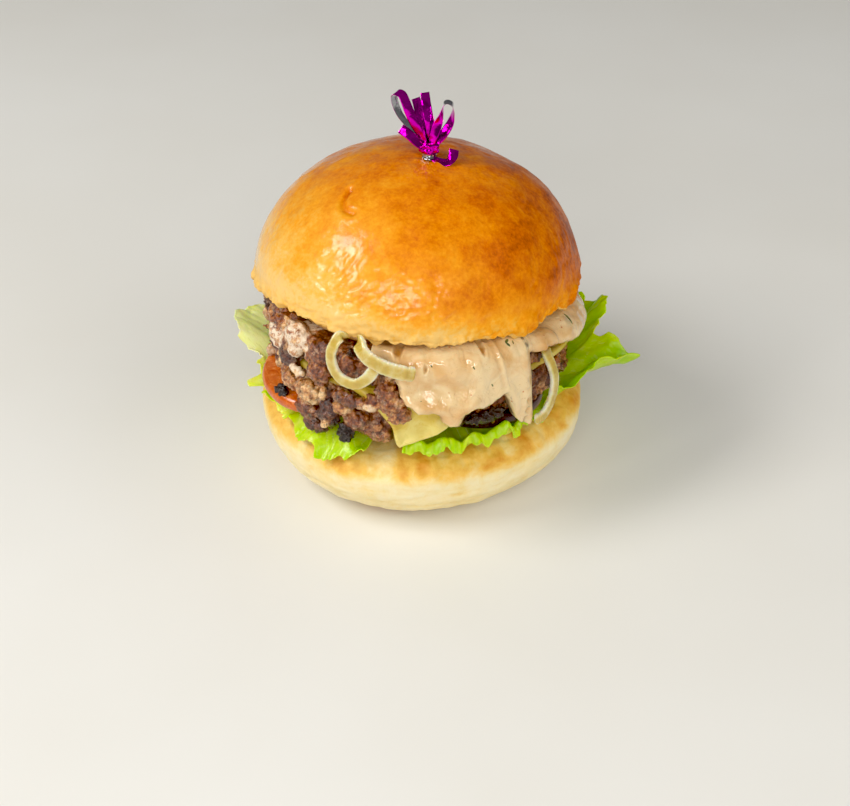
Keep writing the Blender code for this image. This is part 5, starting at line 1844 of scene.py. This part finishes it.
ONIONS = (
    OnionStrip(
        "onion_strip_left",
        ((-115.4, 0.0546, 0.0704), (-116.2, 0.0568, 0.0714), (-117.3, 0.0586, 0.0694),
         (-118.4, 0.0592, 0.0655), (-117.6, 0.0592, 0.0613), (-114.9, 0.0592, 0.0584),
         (-110.4, 0.0592, 0.0577), (-106.6, 0.0592, 0.0600), (-104.4, 0.0590, 0.0628), (-103.8, 0.0586, 0.0646)),
    ),
    OnionStrip(
        "onion_strip_front",
        ((-109.6, 0.0556, 0.0710), (-108.8, 0.0582, 0.0708), (-107.7, 0.0595, 0.0692), (-105.2, 0.0599, 0.0670),
         (-101.7, 0.0599, 0.0652), (-98.2, 0.0597, 0.0640), (-94.3, 0.0592, 0.0630), (-91.4, 0.0582, 0.0623)),
        width=0.0047,
    ),
    OnionStrip(
        "onion_strip_right",
        ((-41.6, 0.0549, 0.0600), (-41.0, 0.0556, 0.0570), (-40.4, 0.0572, 0.0535),
         (-40.6, 0.0586, 0.0500), (-41.5, 0.0590, 0.0455), (-43.5, 0.0590, 0.0415),
         (-46.2, 0.0588, 0.0391), (-49.2, 0.0584, 0.0385)),
    ),
)


def main() -> None:
    """Builds the burger's parts in order, then the studio."""
    logging.basicConfig(level=logging.INFO, format="%(name)s: %(message)s")
    layers = Layers()
    BunHeel().build(PaleCrust("soft_white_crust", roughness=0.62, bump=0.35, bump_mm=0.4, subsurface=0.12).make())
    leaf_light = (0.75, 1.0, 0.2)
    lettuce = CurlyLettuce("curly_lettuce", roughness=0.34, subsurface=0.85, scatter=leaf_light, bump=0.5, coat=0.2)
    leaf_finish = lettuce.make()
    for leaf in LEAVES:
        leaf.build(leaf_finish)
    tomato = Tomato("cut_tomato", roughness=0.22, subsurface=0.3, subsurface_mm=2.5, coat=0.5, bump=0.2).make()
    # The right slice lies in shade: a dark maroon copy of the tomato finish paints its shadow in
    shadow_stops = ((0.3, "2c0b08"), (0.6, "451410"), (0.8, "5c2018"))
    dark = Tomato("painted_shadow_tomato", roughness=0.25, coat=0.6, bump=0.2, flesh=shadow_stops, skin=shadow_stops).make()
    for name, x, y, radius, oval, finish in (
        ("tomato_slice_left", -0.0308, -0.0112, 0.0234, (-106, 0.0040), tomato),
        ("tomato_slice_right", 0.0200, -0.0226, 0.0226, (0, 0), dark),
        ("tomato_slice_back", 0.0140, 0.0290, 0.0240, (0, 0), tomato),
    ):
        TomatoSlice(name, (x, y), radius, layers, oval=oval).build(finish)
    beef = SearedBeef("seared_beef_mince", coat=1.0, coat_roughness=0.06, subsurface=0.04, bump=0.75, bump_mm=0.5)
    beef_finish = beef.make()
    Patty(
        "patty_lower", layers.lower_low, layers.lower_top, 0.0, 3, (-115, 17, 0.0048), LOWER_LUMPS, layers
    ).build(beef_finish)
    CheeseSlice(layers).build(
        MeltedCheese(
            "melted_cheese_slice", subsurface=0.3, coat=0.7, coat_roughness=0.08, bump=0.3, bump_mm=0.7
        ).make()
    )
    Patty(
        "patty_upper", layers.upper_low, layers.upper_top, layers.upper_slope, 8, (0, 1, 0), UPPER_LUMPS, layers
    ).build(beef_finish)
    sauce = Sauce(layers)
    sauce.build(
        BurgerSauce(
            "mayonnaise_sauce", roughness=0.30, subsurface=0.2, coat=1.0, coat_roughness=0.04, bump=0.6, bump_mm=1.2
        ).make()
    )
    Herbs(sauce).build(ChoppedHerb("chopped_herb", roughness=0.4, coat=0.5).make())
    onion = FriedOnion(
        "softened_onion", roughness=0.2, subsurface=0.45, transmission=0.36, coat=1.0, coat_roughness=0.06, bump=0.25
    ).make()
    for strip in ONIONS:
        strip.build(onion)
    BunCrown().build(
        EggWashedCrust("egg_washed_crust", coat=0.95, coat_roughness=0.08, specular=0.3, bump=0.36, bump_mm=0.30).make()
    )
    pick = Pick()
    pick.build_stick(BirchWood("birch_wood", roughness=0.6, bump=0.3, bump_mm=0.1).make())
    pick.build_frill(
        MetallisedFilm("magenta_film", 0.16, 1.5, 1.0, colour="f41ad8", deep="b4009c", bump=0.4, bump_mm=0.5).make(),
        MetallisedFilm("silver_film", 0.14, 1.5, 1.0, bump=0.4, bump_mm=0.5).make(),
    )
    Studio().build()


if __name__ == "__main__":
    main()
